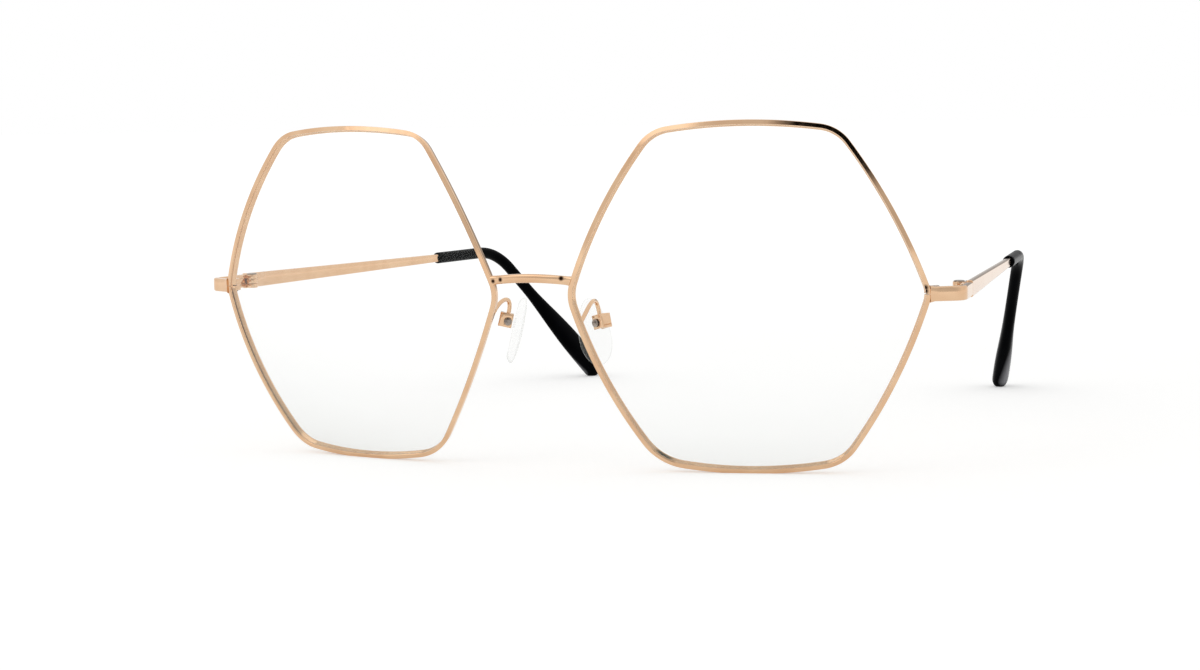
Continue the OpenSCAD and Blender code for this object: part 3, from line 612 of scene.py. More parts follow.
def sweep(name, points, normals, section, width, depth, material):
    mesh = bpy.data.meshes.new(name)
    mesh.from_pydata([tuple(p * mm) for p in points], [(k, k + 1) for k in range(len(points) - 1)], [])
    attribute = mesh.attributes.new("outward", "FLOAT_VECTOR", "POINT")
    attribute.data.foreach_set("vector", np.array(normals, float).ravel())
    path = newObject(name + "Path", mesh)
    ring = len(section)
    sectionMesh = bpy.data.meshes.new(name + "Section")
    sectionEdges = [(k, (k + 1) % ring) for k in range(ring)]
    sectionMesh.from_pydata([(x, y, 0.0) for x, y in section], sectionEdges, [])
    sectionObject = newObject(name + "Section", sectionMesh)
    piece = runTree(path, sweepTree, {
        "Section": sectionObject, "Section width": width * mm, "Section depth": depth * mm,
        "Material": material}, name)
    bpy.data.objects.remove(sectionObject)
    return piece


def rimSection(s):
    # one lip, round the outside, the other lip and the groove, as parts of the width and the depth
    half, r, hold, lipEdge, n = s["depth"] / 2, s["edgeRadius"], s["edgeHold"], s["lipEdge"], s["edgeSteps"]
    outer = []
    for sign, start in ((-1, -90), (1, 0)):
        for k in range(n + 1):
            a = math.radians(start + 90 * k / n)
            outer.append((rimOut - r + r * math.cos(a), sign * (half - r) + r * math.sin(a)))
    middle = [(rimOut + s["crown"] * (1 - (k / 3) ** 2), k / 3 * (half - r)) for k in (-1, 0, 1)]
    points = [(s["grooveBottom"], 0.0), (s["lip"], -s["grooveHalf"]), (s["lip"], lipEdge - half)]
    points += [(s["lip"] + lipEdge, -half), (rimOut - r - hold, -half)]
    points += outer[:n + 1] + middle + outer[n + 1:]
    points += [(rimOut - r - hold, half), (s["lip"] + lipEdge, half)]
    points += [(s["lip"], half - lipEdge), (s["lip"], s["grooveHalf"])]
    centre = s["lip"] + s["width"] / 2
    return [((o - centre) / s["width"], d / s["depth"]) for o, d in points]


def makeRim(side, sign, s):
    stations = outline.stations(s["cornerSteps"], s["sideSteps"], s["splitGap"])
    frames = [placedFrame(station, s["lip"] + s["width"] / 2, 0.0) for station in stations]
    path = mirrored([f[0] for f in frames], sign)
    normals = mirrored([f[1] for f in frames], sign)
    if sign < 0:
        path, normals = path[::-1], normals[::-1]
    rim = sweep("eyewire_" + side, path, normals, rimSection(s), s["width"], s["depth"], roseGold)
    laidFlat(rim)
    finishPiece(rim, roseGold, "front", ["rim_" + side], sharpAngle=40.0)


for side, sign in sides.items():
    makeRim(side, sign, rimShape)
print("rims swept")


def makeLens(side, sign, s):
    # both faces lie on spheres about one centre, and the ridge runs round between them
    stations = outline.stations(s["cornerSteps"], s["sideSteps"])
    half = s["thickness"] / 2

    def faceRing(part, depth):
        ring = []
        for station in stations:
            point, out, back, _ = stationFrame(station)
            edge = point - out * s["ridgeDepth"] + back * depth
            u, v = edge[0] * part, edge[2] * part
            r = s["curveRadius"] - depth
            ring.append(onFront(np.array([u, s["curveRadius"] - math.sqrt(r * r - u * u - v * v), v])))
        return ring

    def edgeRing(outward, depth):
        return [onStation(station, outward, depth) for station in stations]

    rings = [faceRing(part, half) for part in s["faceParts"]]
    rings += [edgeRing(-s["ridgeDepth"], half), edgeRing(-s["ridgeDepth"], s["ridgeHalf"])]
    rings += [edgeRing(0.0, 0.0)]
    rings += [edgeRing(-s["ridgeDepth"], -s["ridgeHalf"]), edgeRing(-s["ridgeDepth"], -half)]
    rings += [faceRing(part, -half) for part in reversed(s["faceParts"])]
    lens = loft("lensPlate_" + side, [mirrored(r, sign) for r in rings])
    finishPiece(lens, lensPlastic, "front", ["lens_" + side])


for side, sign in sides.items():
    makeLens(side, sign, lensShape)
print("lenses made")

bridgeShape = {
    "height": 1.6, "thickness": 1.4, "edge": 0.45, "up": 2.6, "rise": 0.5, "bulge": 1.0,
    "sink": 0.15, "flare": 0.22, "flareRun": 0.9, "steps": 44,
}


def makeBridge(s):
    # an arched bar that turns to meet each rim square on, with a fillet of solder at its ends
    lift = math.degrees(math.asin(s["up"] / (outline.radii[3] + rimOut)))
    foot, out, back, along = placedFrame(outline.atCorner(3, -lift), rimOut, 0.0)
    reach = foot[0]
    section = np.array(roundedSection(s["height"], s["thickness"], s["edge"]))
    rings = []
    for k in range(s["steps"] + 1):
        f = 1 - 2 * k / s["steps"]
        toSide = np.array([math.copysign(1, f), 1, 1])
        swell = 1 - f * f
        point = np.array([reach * f, foot[1] - s["bulge"] * swell, foot[2] + s["rise"] * swell])
        if abs(f) == 1:
            point = point - out * toSide * s["sink"]
        turn = max(0.0, 1 - (1 - abs(f)) * reach / s["flareRun"])
        up = unit(np.array([0, 0, 1.0]) * (1 - turn) - along * toSide * turn)
        depth = unit(np.array([0, 1.0, 0]) * (1 - turn) + back * toSide * turn)
        rings.append(ringAt(point, up, depth, section * (1 + s["flare"] * turn ** 2)))
    finishPiece(loft("bridgeBar", rings), roseGold, "front", ["bridge"])


makeBridge(bridgeShape)
print("bridge made")

endpieceShape = {
    "height": 2.6, "thickness": 1.2, "edge": 0.35, "out": 3.9, "back": 12.2, "bendRadius": 2.2, "proud": 0.15,
    "footSteps": 6, "bendSteps": 14, "straightSteps": 10, "sink": 0.12, "flare": 0.16, "flareRun": 0.8,
}
templeShape = {
    "toeIn": 7.5, "slope": -0.1, "length": 87.6, "height": 3.0, "endHeight": 1.7, "thickness": 1.2,
    "tipStart": 69.6, "bendRadius": 16.0, "drop": 43.0, "tipTurn": 13.0, "core": 1.3, "coreEase": 4.0,
    "coreShort": 10.0, "edge": 0.3, "buttGap": 0.05, "buttBevel": 0.12,
    "straightFrom": 1.0, "straightRings": 24, "bendRings": 12, "bendSteps": 16,
}
# the hinge stands where the endpiece ends and the temple begins
templeStation = outline.atCorner(0)
footOffset = -rimShape["depth"] / 2 + endpieceShape["thickness"] / 2 - endpieceShape["proud"]
endFrom, endOut, endBack, endAlong = placedFrame(templeStation, rimOut, footOffset)
outHeading = math.degrees(math.atan2(endOut[1], endOut[0]))
backHeading = 90 + templeShape["toeIn"]
hingePoint = endFrom + np.array([endpieceShape["out"], endpieceShape["back"], 0.0])


def heading2(degrees):
    a = math.radians(degrees)
    return np.array([math.cos(a), math.sin(a)])


def endpiecePath(s):
    # straight out from the rim, round the bend and straight back to the hinge, seen from above
    start, end = endFrom[:2], hingePoint[:2]
    e = end - start
    a, b = heading2(outHeading), heading2(backHeading)
    det = -a[0] * b[1] + b[0] * a[1]
    corner = start + a * ((-e[0] * b[1] + e[1] * b[0]) / det)
    setback = s["bendRadius"] * math.tan(math.radians((backHeading - outHeading) / 2))
    centre = corner - a * setback + heading2(outHeading + 90) * s["bendRadius"]
    bendStart = centre + heading2(outHeading - 90) * s["bendRadius"]
    footSteps, bendSteps, straightSteps = s["footSteps"], s["bendSteps"], s["straightSteps"]
    path = [(start + (bendStart - start) * k / footSteps, outHeading) for k in range(footSteps)]
    for k in range(bendSteps + 1):
        h = outHeading + (backHeading - outHeading) * k / bendSteps
        path.append((centre + heading2(h - 90) * s["bendRadius"], h))
    last = path[-1][0]
    path += [(last + (end - last) * k / straightSteps, backHeading) for k in range(1, straightSteps + 1)]
    return path


def makeEndpiece(side, sign, s):
    section = np.array(roundedSection(s["height"], s["thickness"], s["edge"]))
    rings = [ringAt(endFrom - endOut * s["sink"], endAlong, -endBack, section * (1 + s["flare"]))]
    for point, heading in endpiecePath(s)[1:]:
        away = np.linalg.norm(point - endFrom[:2])
        grow = 1 + s["flare"] * max(0.0, 1 - away / s["flareRun"]) ** 2
        a = math.radians(heading)
        rings.append(ringAt(
            np.array([point[0], point[1], endFrom[2]]), np.array([0, 0, 1.0]),
            np.array([math.sin(a), -math.cos(a), 0.0]), section * grow))
    bar = loft("endpieceBar_" + side, [mirrored(r, sign) for r in rings])
    finishPiece(bar, roseGold, "front", ["endpiece_" + side])


for side, sign in sides.items():
    makeEndpiece(side, sign, endpieceShape)
print("endpieces made")

tipShape = {
    "height": 2.5, "thickness": 2.5, "paddleHeight": 5.4, "paddleThickness": 3.6, "paddleRun": 12.0,
    "bellyRun": 6.0, "swellFrom": 7.0, "roll": 15.0, "squareness": 2.6, "sides": 40, "restCut": 0.2,
    # the rounded mouth of the tip: distance in, and part of the full size there
    "mouth": ((0.0, 0.8), (0.02, 0.9), (0.12, 0.96), (0.35, 1.0)),
    "straightFrom": 1.5, "straightRings": 8, "bendRings": 14, "paddleRings": 26, "endStep": 8,
    "endRises": (0, 25, 48, 68, 82), "endTurns": range(15, 375, 30),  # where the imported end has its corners
}
bendLength = templeShape["bendRadius"] * math.radians(templeShape["drop"] - templeShape["slope"])
bendAt = templeShape["length"] + bendLength


def clamped(value):
    return min(1.0, max(0.0, value))


def blend(first, second, part):
    return first + (second - first) * part


def bendPart(s):
    return clamped((s - templeShape["length"]) / bendLength)


def yawAt(s):
    return math.radians(templeShape["toeIn"] + templeShape["tipTurn"] * bendPart(s))


def headingAt(s):
    pitch, yaw = math.radians(blend(templeShape["slope"], templeShape["drop"], bendPart(s))), yawAt(s)
    return np.array([-math.sin(yaw) * math.cos(pitch), math.cos(yaw) * math.cos(pitch), -math.sin(pitch)])


def sideAt(s):
    return np.array([math.cos(yawAt(s)), math.sin(yawAt(s)), 0.0])


def upAt(s):
    return np.cross(sideAt(s), headingAt(s))


def templePoint(s):
    # the middle of the temple at a distance from the hinge: straight, round the ear, straight again
    length, steps = templeShape["length"], templeShape["bendSteps"]
    point = hingePoint + headingAt(0) * min(s, length)
    if s <= length:
        return point
    run = min(s, bendAt) - length
    for k in range(steps):
        point = point + headingAt(length + run * (k + 0.5) / steps) * run / steps
    return point + headingAt(bendAt) * max(0.0, s - bendAt)


def rolled(s, degrees):
    a = math.radians(degrees)
    up, aside = upAt(s), sideAt(s)
    return up * math.cos(a) + aside * math.sin(a), aside * math.cos(a) - up * math.sin(a)


def lowestOfEnd():
    # how far the rounded end of the tip hangs below the last point of its middle line
    along = headingAt(bendAt) * paddleRound
    up, aside = rolled(bendAt, tipShape["roll"])
    up, aside = up * tipShape["paddleHeight"] / 2, aside * tipShape["paddleThickness"] / 2
    heights = []
    for a in (math.radians(rise) for rise in tipShape["endRises"]):
        for t in (math.radians(turn) for turn in tipShape["endTurns"]):
            spread = up * math.cos(a) * math.cos(t) + aside * math.cos(a) * math.sin(t)
            heights.append((spread - along * (1 - math.sin(a)))[2])
    return -min(heights)


# the tip runs down until its end would stand a little under the table, and is laid flat there
paddleRound = tipShape["paddleHeight"] / 2
tipDrop = templePoint(bendAt)[2] - lowestOfEnd() + tipShape["restCut"]
templeEnd = bendAt + tipDrop / math.sin(math.radians(templeShape["drop"]))


def barSize(s):
    # height and thickness of the bar, which shrinks to its wire core inside the tip
    t = templeShape
    part = clamped((s - t["tipStart"]) / t["coreEase"])
    if s <= t["tipStart"]:
        height = blend(t["height"], t["endHeight"], s / t["tipStart"])
    else:
        height = blend(t["endHeight"], t["core"], part)
    return height, blend(t["thickness"], t["core"], part)


def tipSwell(s, run):
    start = bendAt + tipShape["swellFrom"]
    f = clamped((s - start) / (templeEnd - run - start))
    return f * f * (3 - 2 * f)


def tipRing(s, scale=1.0):
    # a round that grows to a rolled, squarer oval, and closes over the end
    swell = tipSwell(s, tipShape["paddleRun"])
    belly = tipSwell(s, tipShape["bellyRun"]) ** 2
    e = templeEnd - s
    z = scale * (1.0 if e >= paddleRound else math.sqrt(max(0.0, 1 - (1 - e / paddleRound) ** 2)))
    h = blend(tipShape["height"], tipShape["paddleHeight"], swell) * z / 2
    t = blend(tipShape["thickness"], tipShape["paddleThickness"], belly) * z / 2
    power = 2 / blend(2, tipShape["squareness"], swell)
    section = []
    for k in range(tipShape["sides"]):
        a = 2 * math.pi * k / tipShape["sides"]
        c, d = math.cos(a), math.sin(a)
        section.append((h * math.copysign(abs(c) ** power, c), t * math.copysign(abs(d) ** power, d)))
    return ringAt(templePoint(s), *rolled(s, tipShape["roll"] * swell), section)


def makeTempleBar(side, sign, s):
    stops = [s["buttGap"], s["buttGap"] + s["buttBevel"]]
    stops += [*np.linspace(s["straightFrom"], s["tipStart"], s["straightRings"])]
    stops += [s["tipStart"] + s["coreEase"], *np.linspace(s["length"], bendAt, s["bendRings"])]
    stops += [templeEnd - s["coreShort"]]
    rings = []
    for k, q in enumerate(stops):
        inset = 0.0 if k else s["buttBevel"]
        height, thickness = barSize(q)
        section = roundedSection(height - 2 * inset, thickness - 2 * inset, s["edge"])
        rings.append(ringAt(templePoint(q), upAt(q), sideAt(q), section))
    bar = loft("templeBar_" + side, [mirrored(r, sign) for r in rings])
    finishPiece(bar, roseGold, "temple_" + side, ["temple_bar_" + side])


def makeTempleTip(side, sign, s):
    start, length = templeShape["tipStart"], templeShape["length"]
    rings = [tipRing(start + away, part) for away, part in s["mouth"]]
    rings += [tipRing(q) for q in np.linspace(start + s["straightFrom"], length, s["straightRings"])]
    rings += [tipRing(q) for q in np.linspace(length, bendAt, s["bendRings"])[1:]]
    rings += [tipRing(q) for q in np.linspace(bendAt, templeEnd - paddleRound, s["paddleRings"])[1:]]
    rings += [
        tipRing(templeEnd - paddleRound * (1 - math.sin(math.radians(a))))
        for a in range(s["endStep"], 90, s["endStep"])]
    tip = loft("templeTip_" + side, [mirrored(r, sign) for r in rings])
    laidFlat(tip)
    finishPiece(tip, blackAcetate, "temple_" + side, ["temple_tip_" + side])


for side, sign in sides.items():
    makeTempleBar(side, sign, templeShape)
    makeTempleTip(side, sign, tipShape)
print("temples made")

padShape = {
    "x": 9.4, "back": 9.0, "down": 5.7, "splay": 25.0, "flare": 14.0, "length": 12.5, "width": 7.4,
    "thickness": 1.9, "top": 5.0, "taper": 0.22, "backX": -1.3, "tabThickness": 1.2, "tabRadius": 0.9,
    "screw": 0.9, "clearance": 0.04, "rings": 14, "sides": 56, "tabSides": 28, "tabSink": 0.3,
    # how the pad's outline draws in towards its back and its face, and how much fuller the tab's root is
    "backDraw": 0.16, "backCurve": 2.2, "faceCurve": 2.6, "faceRound": 2.2, "facePole": 0.02,
    "tabFull": 2.0, "tabSquare": 1.6,
}
armShape = {
    "wire": 0.8, "at": 0.1, "rise": 4.4, "boxX": 0.1, "boxTop": 1.5, "steps": 40, "sides": 20,
    "seatGap": 0.02, "backPull": 0.9, "upPull": 0.7, "sink": 0.1,
}
# how sharp edges are broken: what is merged first, how flat a face and how sharp an edge is, the bevel
softShape = {"merge": 0.002, "flat": 1, "sharp": 40, "segments": 2, "profile": 0.5}
softEdges = {"padBox": 0.1, "hinge": 0.07, "lock": 0.12}
# the screw of the pad stands where the nose corner of the rim says
noseFrame = placedFrame(outline.atCorner(3), rimOut, 0.0)
padPoint = np.array([padShape["x"], noseFrame[0][1] + padShape["back"], noseFrame[0][2] - padShape["down"]])
padTurn = turnAbout("Z", -padShape["splay"]) @ turnAbout("Y", -padShape["flare"])


def onPad(p):
    return padTurn @ np.asarray(p, float) + padPoint


def padBodyRings(s):
    # a soft drop shape, narrower above, drawn in a little at its back and rounded over its face
    rings = []
    middle = s["top"] - s["length"] / 2
    for k in range(s["rings"] + 1):
        t = 0.5 - 0.5 * math.cos(math.pi * k / s["rings"])
        if t < 0.5:
            f = 1 - s["backDraw"] * ((0.5 - t) / 0.5) ** s["backCurve"]
        else:
            f = max(s["facePole"], 1 - ((t - 0.5) / 0.5) ** s["faceCurve"]) ** (1 / s["faceRound"])
        ring = []
        for j in range(s["sides"]):
            a = 2 * math.pi * j / s["sides"]
            ring.append(onPad([
                s["backX"] - s["thickness"] * t,
                s["width"] / 2 * math.sin(a) * (1 - s["taper"] * math.cos(a)) * f,
                middle + s["length"] / 2 * math.cos(a) * f,
            ]))
        rings.append(ring)
    return rings


def padTabRings(s):
    # a flat tab with a round eye: the outline in plan, then its bore
    radius, bore = s["tabRadius"], s["screw"] / 2 + s["clearance"]
    start = s["backX"] - s["tabSink"]
    outer, inner = [], []
    for k in range(s["tabSides"]):
        a = 2 * math.pi * k / s["tabSides"]
        inner.append((bore * math.cos(a), bore * math.sin(a)))
        x, z = radius * math.cos(a), radius * math.sin(a)
        if x < 0:
            x = start * min(1.0, abs(math.cos(a)) * s["tabFull"])
            z = math.copysign(min(radius, abs(z) * s["tabSquare"]), z)
        outer.append((x, z))
    half = s["tabThickness"] / 2
    return [[onPad([x, y, z]) for x, z in loop] for loop, y in (
        (inner, -half), (outer, -half), (outer, half), (inner, half))]


def armPoints(s):
    # one smooth bend from the back of the rim up and over, down into the top of the pad box
    start, end = outline.cornerAngles(3)[1], outline.sideAngles(3)[1]
    station = (*outline.sides[3], start + (end - start) * s["at"])
    foot, _, back, _ = placedFrame(
        station, rimShape["lip"] / 2 + rimOut / 2, rimShape["depth"] / 2 + s["seatGap"])
    top = onPad([s["boxX"], 0, s["boxTop"]])
    up = padTurn @ np.array([0, 0, 1.0])
    over = foot + back * s["rise"] * s["backPull"] + np.array([0, 0, s["rise"] * s["upPull"]])
    above = top + up * s["rise"]
    points = []
    for t in (k / s["steps"] for k in range(s["steps"] + 1)):
        fromFoot = foot * (1 - t) ** 3 + over * 3 * t * (1 - t) ** 2
        points.append(fromFoot + above * 3 * t * t * (1 - t) + top * t ** 3)
    points[0] = foot - back * s["sink"]
    points[-1] = top - up * s["sink"]
    return points


def softCopy(name, node, edge, material, body):
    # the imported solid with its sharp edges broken, as a deburred part has them
    s = softShape
    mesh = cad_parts[node].data.copy()
    bm = bmesh.new()
    bm.from_mesh(mesh)
    bmesh.ops.remove_doubles(bm, verts=bm.verts, dist=s["merge"] * mm)
    bmesh.ops.dissolve_limit(bm, angle_limit=math.radians(s["flat"]), verts=bm.verts, edges=bm.edges)
    sharp = [
        e for e in bm.edges if len(e.link_faces) == 2 and e.calc_face_angle(0) > math.radians(s["sharp"])]
    bmesh.ops.bevel(
        bm, geom=sharp, offset=edge * mm, segments=s["segments"], profile=s["profile"], affect="EDGES",
        clamp_overlap=True)
    bm.to_mesh(mesh)
    bm.free()
    finishPiece(newObject(name, mesh), material, body, [node])


def makeNosePad(side, sign, s):
    pad = loft("padBody_" + side, [mirrored(r, sign) for r in padBodyRings(s)])
    tab = loft("padTab_" + side, [mirrored(r, sign) for r in padTabRings(s)], closed=True)
    whole = joined("clearPad_" + side, [pad, tab])
    finishPiece(whole, padSilicone, "pad_" + side, ["nose_pad_" + side])


def makePadArm(side, sign, s):
    points = mirrored(armPoints(s), sign)
    normals = [np.array([1.0, 0.0, 0.0])] * len(points)
    turns = [2 * math.pi * k / s["sides"] for k in range(s["sides"])]
    section = [(0.5 * math.cos(a), 0.5 * math.sin(a)) for a in turns]
    arm = sweep("padArmWire_" + side, points, normals, section, s["wire"], s["wire"], roseGold)
    finishPiece(arm, roseGold, "front", ["pad_arm_" + side])


for side, sign in sides.items():
    makeNosePad(side, sign, padShape)
    makePadArm(side, sign, armShape)
    softCopy("padBoxShell_" + side, "pad_box_" + side, softEdges["padBox"], roseGold, "front")
print("pads made")

for side in sides:
    for name, node, edge, body in (
        ("hingeLeafFront_", "hinge_front_", softEdges["hinge"], "front"),
        ("hingeLeafRear_", "hinge_rear_", softEdges["hinge"], "temple_" + side),
        ("lockUpper_", "lock_upper_", softEdges["lock"], "front"),
        ("lockLower_", "lock_lower_", softEdges["lock"], "front"),
    ):
        softCopy(name + side, node + side, edge, roseGold, body)
print("hinges and locks made")


def makeScrewTree():
    # one screw set on each point, turned to the point's aim
    tree, given = newGeometryTree("screwsOnPoints", (
        ("Screw", "Object"), ("Size", "Float"), ("Material", "Material")))
    aim = addNode(tree, "GeometryNodeInputNamedAttribute", {"data_type": "FLOAT_VECTOR"}, {"Name": "aim"})
    turn = addNode(tree, "FunctionNodeAlignRotationToVector", {"axis": "Z"}, links={"Vector": aim})
    screw = addNode(
        tree, "GeometryNodeObjectInfo", values={"As Instance": True}, links={"Object": given["Screw"]})
    placed = addNode(
        tree, "GeometryNodeInstanceOnPoints",
        links={
            "Points": given["Geometry"], "Instance": screw.outputs["Geometry"],
            "Rotation": turn, "Scale": given["Size"],
        })
    return endGeometryTree(tree, placed, given["Material"])


screwTree = makeScrewTree()
screwSets = {
    "lock_screw": {"shank": 1.0, "head": 1.6, "length": 2.3, "headHeight": 0.25},
    "hinge_screw": {"shank": 1.2, "head": 2.0, "length": 2.65, "headHeight": 0.25},
    "pad_screw": {"shank": 0.9, "head": 1.5, "length": 2.28, "headHeight": 0.35},
}
screwShape = {
    "sides": 40, "shankBevel": 0.08, "headBevel": 0.04, "headWall": 0.05, "slotWidth": 0.25, "slotDeep": 0.2,
    # the dome of the head: parts of its radius and of its height
    "dome": ((1.0, 0.45), (0.93, 0.72), (0.72, 0.92), (0.35, 1.0)), "pole": 0.001,
}


def makeScrewBlank(name, s, form):
    # turned from the middle of the shank: a broken lower edge, and a low domed head with a slot
    half, r, h, top = s["length"] / 2, s["shank"] / 2, s["head"] / 2, s["headHeight"]
    line = [(0.0, -half), (r - form["shankBevel"], -half), (r, form["shankBevel"] - half), (r, half)]
    line += [(h - form["headBevel"], half), (h, half + form["headWall"])]
    line += [(h * across, half + top * rise) for across, rise in form["dome"]]
    line += [(0.0, half + top)]
    turns = [2 * math.pi * k / form["sides"] for k in range(form["sides"])]
    rings = []
    for x, z in line:
        x = max(x, form["pole"])
        rings.append([np.array([x * math.cos(a), x * math.sin(a), z]) for a in turns])
    body = loft(name + "Body", rings)
    w, deep = form["slotWidth"] / 2, form["slotDeep"]
    corners = [(-h * 2, -w), (h * 2, -w), (h * 2, w), (-h * 2, w)]
    levels = (half + top - deep, half + top + deep)
    cutter = loft(name + "Slot", [[np.array([x, y, z]) for x, y in corners] for z in levels])
    for obj in (body, cutter):
        cleanMesh(obj.data)
    cut = body.modifiers.new("slot", "BOOLEAN")
    cut.operation = "DIFFERENCE"
    cut.solver = "EXACT"
    cut.object = cutter
    result = frozen(body, name)
    bpy.data.objects.remove(cutter)
    return result


def screwAim(kind, sign):
    # from the shank to the head
    if kind == "pad_screw":
        aim = padTurn @ np.array([0.0, -1.0, 0.0])
    elif kind == "lock_screw":
        aim = frontTurn @ np.array([0.0, 0.0, -1.0])
    else:
        aim = np.array([0.0, 0.0, 1.0])
    return np.array([aim[0] * sign, aim[1], aim[2]])


def screwCentre(kind, side, s):
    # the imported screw's box gives its middle; its head shifts that by half a head along the axis
    low, high = (np.array(v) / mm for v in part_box(kind + "_" + side))
    return (low + high) / 2 - screwAim(kind, sides[side]) * s["headHeight"] / 2


for kind, s in screwSets.items():
    blank = makeScrewBlank(kind + "Shape", s, screwShape)
    for side, sign in sides.items():
        mesh = bpy.data.meshes.new(kind + "Points")
        mesh.from_pydata([tuple(screwCentre(kind, side, s) * mm)], [], [])
        attribute = mesh.attributes.new("aim", "FLOAT_VECTOR", "POINT")
        attribute.data.foreach_set("vector", screwAim(kind, sign))
        holder = newObject(kind + "Points", mesh)
        screw = runTree(
            holder, screwTree, {"Screw": blank, "Size": 1.0, "Material": screwSteel},
            "slotted_" + kind + "_" + side)
        finishPiece(screw, screwSteel, "front", [kind + "_" + side], sharpAngle=30.0)
    bpy.data.objects.remove(blank)
print("screws set")

floorSet = {
    "main": "#f4f4f3", "second": "#f5f5f4", "size": 12000.0, "grainMm": 40.0,
    "roughLow": 0.8, "roughHigh": 0.9, "glow": 0.235, "farGlow": 0.36, "nearMm": 150.0, "farMm": 900.0,
}
worldSet = {"light": "#ffffff", "strength": 0.8, "shown": "#ffffff"}
# what shiny metal sees besides the white tent: the greyer open front, and the unlit gaps in the tent
tentSet = {
    "frontAzimuth": 22.6, "frontElevation": -8.0, "front": 0.68, "frontNear": 0.35, "frontFar": 0.93,
    "gapSoft": 5.0, "leastFacing": 0.01,
    "gaps": (
        {"azimuth": 27.5, "elevation": 27.5, "halfWidth": 15.0, "halfHeight": 12.5, "dark": 1.0},
        {"azimuth": 181.0, "elevation": 9.0, "halfWidth": 17.0, "halfHeight": 7.0, "dark": 0.6},
    ),
}
lampSet = {"size": 900.0, "power": 1.5, "at": (-450.0, -750.0, 850.0), "aim": (0.0, 0.0, 30.0)}


def anyRay(tree, kinds):
    # 1 where the ray is one of the kinds
    path = addNode(tree, "ShaderNodeLightPath")
    total = path.outputs[kinds[0]]
    for kind in kinds[1:]:
        total = addNode(
            tree, "ShaderNodeMath", {"operation": "MAXIMUM"}, links={0: total, 1: path.outputs[kind]})
    return total


def makeFloor(s):
    # matt pale paper that keeps the shadow, and glows a little so that it shows as white
    half = s["size"] * mm / 2
    mesh = bpy.data.meshes.new("studioFloor")
    corners = [(-half, -half, 0), (half, -half, 0), (half, half, 0), (-half, half, 0)]
    mesh.from_pydata(corners, [], [(0, 1, 2, 3)])
    floor = newObject("studioFloor", mesh)
    material, tree, coords = newMaterial("paleStudioFloor")
    grain = addNode(
        tree, "ShaderNodeTexNoise", values={**patternNoise, "Scale": 1 / (s["grainMm"] * mm)},
        links={"Vector": coords})
    shift = addNode(tree, "ShaderNodeMapRange", values=patternRange, links={"Value": grain})
    tint = addNode(
        tree, "ShaderNodeMix", {"data_type": "RGBA"},
        {"A": colour(s["main"]), "B": colour(s["second"])}, {"Factor": shift})
    rough = addNode(
        tree, "ShaderNodeMapRange",
        values={**patternRange, "To Min": s["roughLow"], "To Max": s["roughHigh"]}, links={"Value": grain})
    shader = addNode(
        tree, "ShaderNodeBsdfPrincipled", values={"Specular IOR Level": 0.0},
        links={"Base Color": tint, "Roughness": rough})
    away = addNode(tree, "ShaderNodeVectorMath", {"operation": "LENGTH"}, links={0: coords})
    strength = addNode(
        tree, "ShaderNodeMapRange",
        values={
            "From Min": s["nearMm"] * mm, "From Max": s["farMm"] * mm,
            "To Min": s["glow"], "To Max": s["farGlow"]},
        links={"Value": away})
    glow = addNode(
        tree, "ShaderNodeEmission", values={"Color": colour("#ffffff")}, links={"Strength": strength})
    dark = addNode(tree, "ShaderNodeEmission", values={"Strength": 0.0})
    seen = anyRay(tree, ["Is Camera Ray", "Is Glossy Ray", "Is Transmission Ray"])
    extra = addNode(tree, "ShaderNodeMixShader", links={0: seen, 1: dark, 2: glow})
    total = addNode(tree, "ShaderNodeAddShader", links={0: shader, 1: extra})
    addNode(tree, "ShaderNodeOutputMaterial", links={"Surface": total})
    mesh.materials.append(material)


def skyVector(azimuth, elevation):
    az, el = math.radians(azimuth), math.radians(elevation)
    return (math.sin(az) * math.cos(el), -math.cos(az) * math.cos(el), math.sin(el))


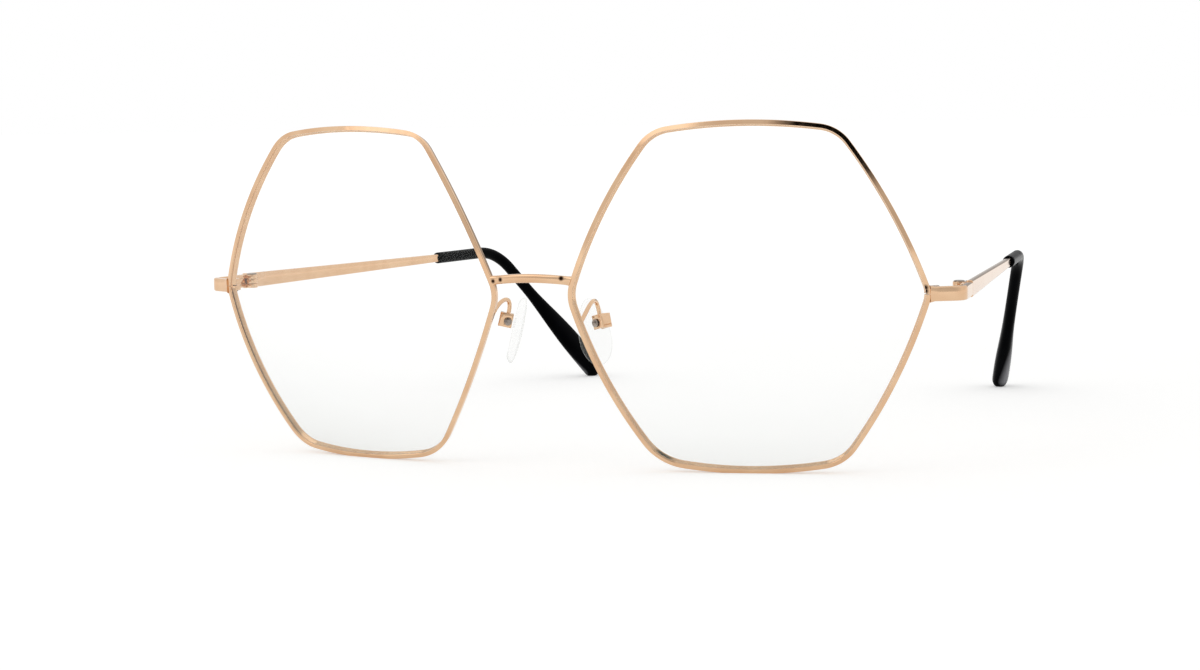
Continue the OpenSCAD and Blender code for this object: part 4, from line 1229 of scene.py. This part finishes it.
def tentLight(tree, s):
    # how bright the tent is in each direction
    direction = addNode(tree, "ShaderNodeTexCoord").outputs["Generated"]
    towards = {"operation": "DOT_PRODUCT"}
    front = skyVector(s["frontAzimuth"], s["frontElevation"])
    ahead = addNode(tree, "ShaderNodeVectorMath", towards, {1: front}, {0: direction})
    tent = addNode(
        tree, "ShaderNodeMapRange",
        values={
            "From Min": s["frontNear"], "From Max": s["frontFar"], "To Min": 1.0, "To Max": s["front"]},
        links={"Value": ahead})
    for gap in s["gaps"]:
        middle = skyVector(gap["azimuth"], gap["elevation"])
        across = skyVector(gap["azimuth"] + 90, 0)
        upward = skyVector(gap["azimuth"], gap["elevation"] + 90)
        facing = addNode(tree, "ShaderNodeVectorMath", towards, {1: middle}, {0: direction})
        facing = addNode(
            tree, "ShaderNodeMath", {"operation": "MAXIMUM"}, {1: s["leastFacing"]}, {0: facing})
        inside = []
        for axis, half in ((across, gap["halfWidth"]), (upward, gap["halfHeight"])):
            offset = addNode(tree, "ShaderNodeVectorMath", towards, {1: axis}, {0: direction})
            slope = addNode(tree, "ShaderNodeMath", {"operation": "DIVIDE"}, links={0: offset, 1: facing})
            slope = addNode(tree, "ShaderNodeMath", {"operation": "ABSOLUTE"}, links={0: slope})
            near, far = (math.tan(math.radians(half + k * s["gapSoft"])) for k in (-0.5, 0.5))
            inside.append(addNode(
                tree, "ShaderNodeMapRange",
                values={"From Min": near, "From Max": far, "To Min": 1.0, "To Max": 0.0},
                links={"Value": slope}))
        shade = addNode(
            tree, "ShaderNodeMath", {"operation": "MULTIPLY"}, links={0: inside[0], 1: inside[1]})
        lit = addNode(
            tree, "ShaderNodeMapRange", values={"To Min": 1.0, "To Max": 1.0 - gap["dark"]},
            links={"Value": shade})
        tent = addNode(tree, "ShaderNodeMath", {"operation": "MULTIPLY"}, links={0: tent, 1: lit})
    return tent


def makeWorld(s):
    world = bpy.data.worlds.new("studioWorld")
    world.use_nodes = True
    scene.world = world
    tree = world.node_tree
    tree.nodes.clear()
    lighting = addNode(
        tree, "ShaderNodeBackground", values={"Color": colour(s["light"]), "Strength": s["strength"]})
    shown = addNode(tree, "ShaderNodeBackground", values={"Color": colour(s["shown"])})
    reflected = addNode(
        tree, "ShaderNodeBackground", values={"Color": colour(s["shown"])},
        links={"Strength": tentLight(tree, tentSet)})
    seen = anyRay(tree, ["Is Camera Ray", "Is Transmission Ray"])
    glossy = anyRay(tree, ["Is Glossy Ray"])
    mixed = addNode(tree, "ShaderNodeMixShader", links={0: seen, 1: lighting, 2: shown})
    final = addNode(tree, "ShaderNodeMixShader", links={0: glossy, 1: mixed, 2: reflected})
    addNode(tree, "ShaderNodeOutputWorld", links={"Surface": final})


def makeLamp(s):
    data = bpy.data.lights.new("softBox", "AREA")
    data.shape = "SQUARE"
    data.size = s["size"] * mm
    data.energy = s["power"]
    lamp = newObject("softBox", data)
    lamp.location = Vector(s["at"]) * mm
    aim = Vector(s["aim"]) * mm - lamp.location
    lamp.rotation_euler = aim.to_track_quat("-Z", "Y").to_euler()


makeFloor(floorSet)
makeWorld(worldSet)
makeLamp(lampSet)
scene.view_settings.view_transform = "Standard"
print("studio set")
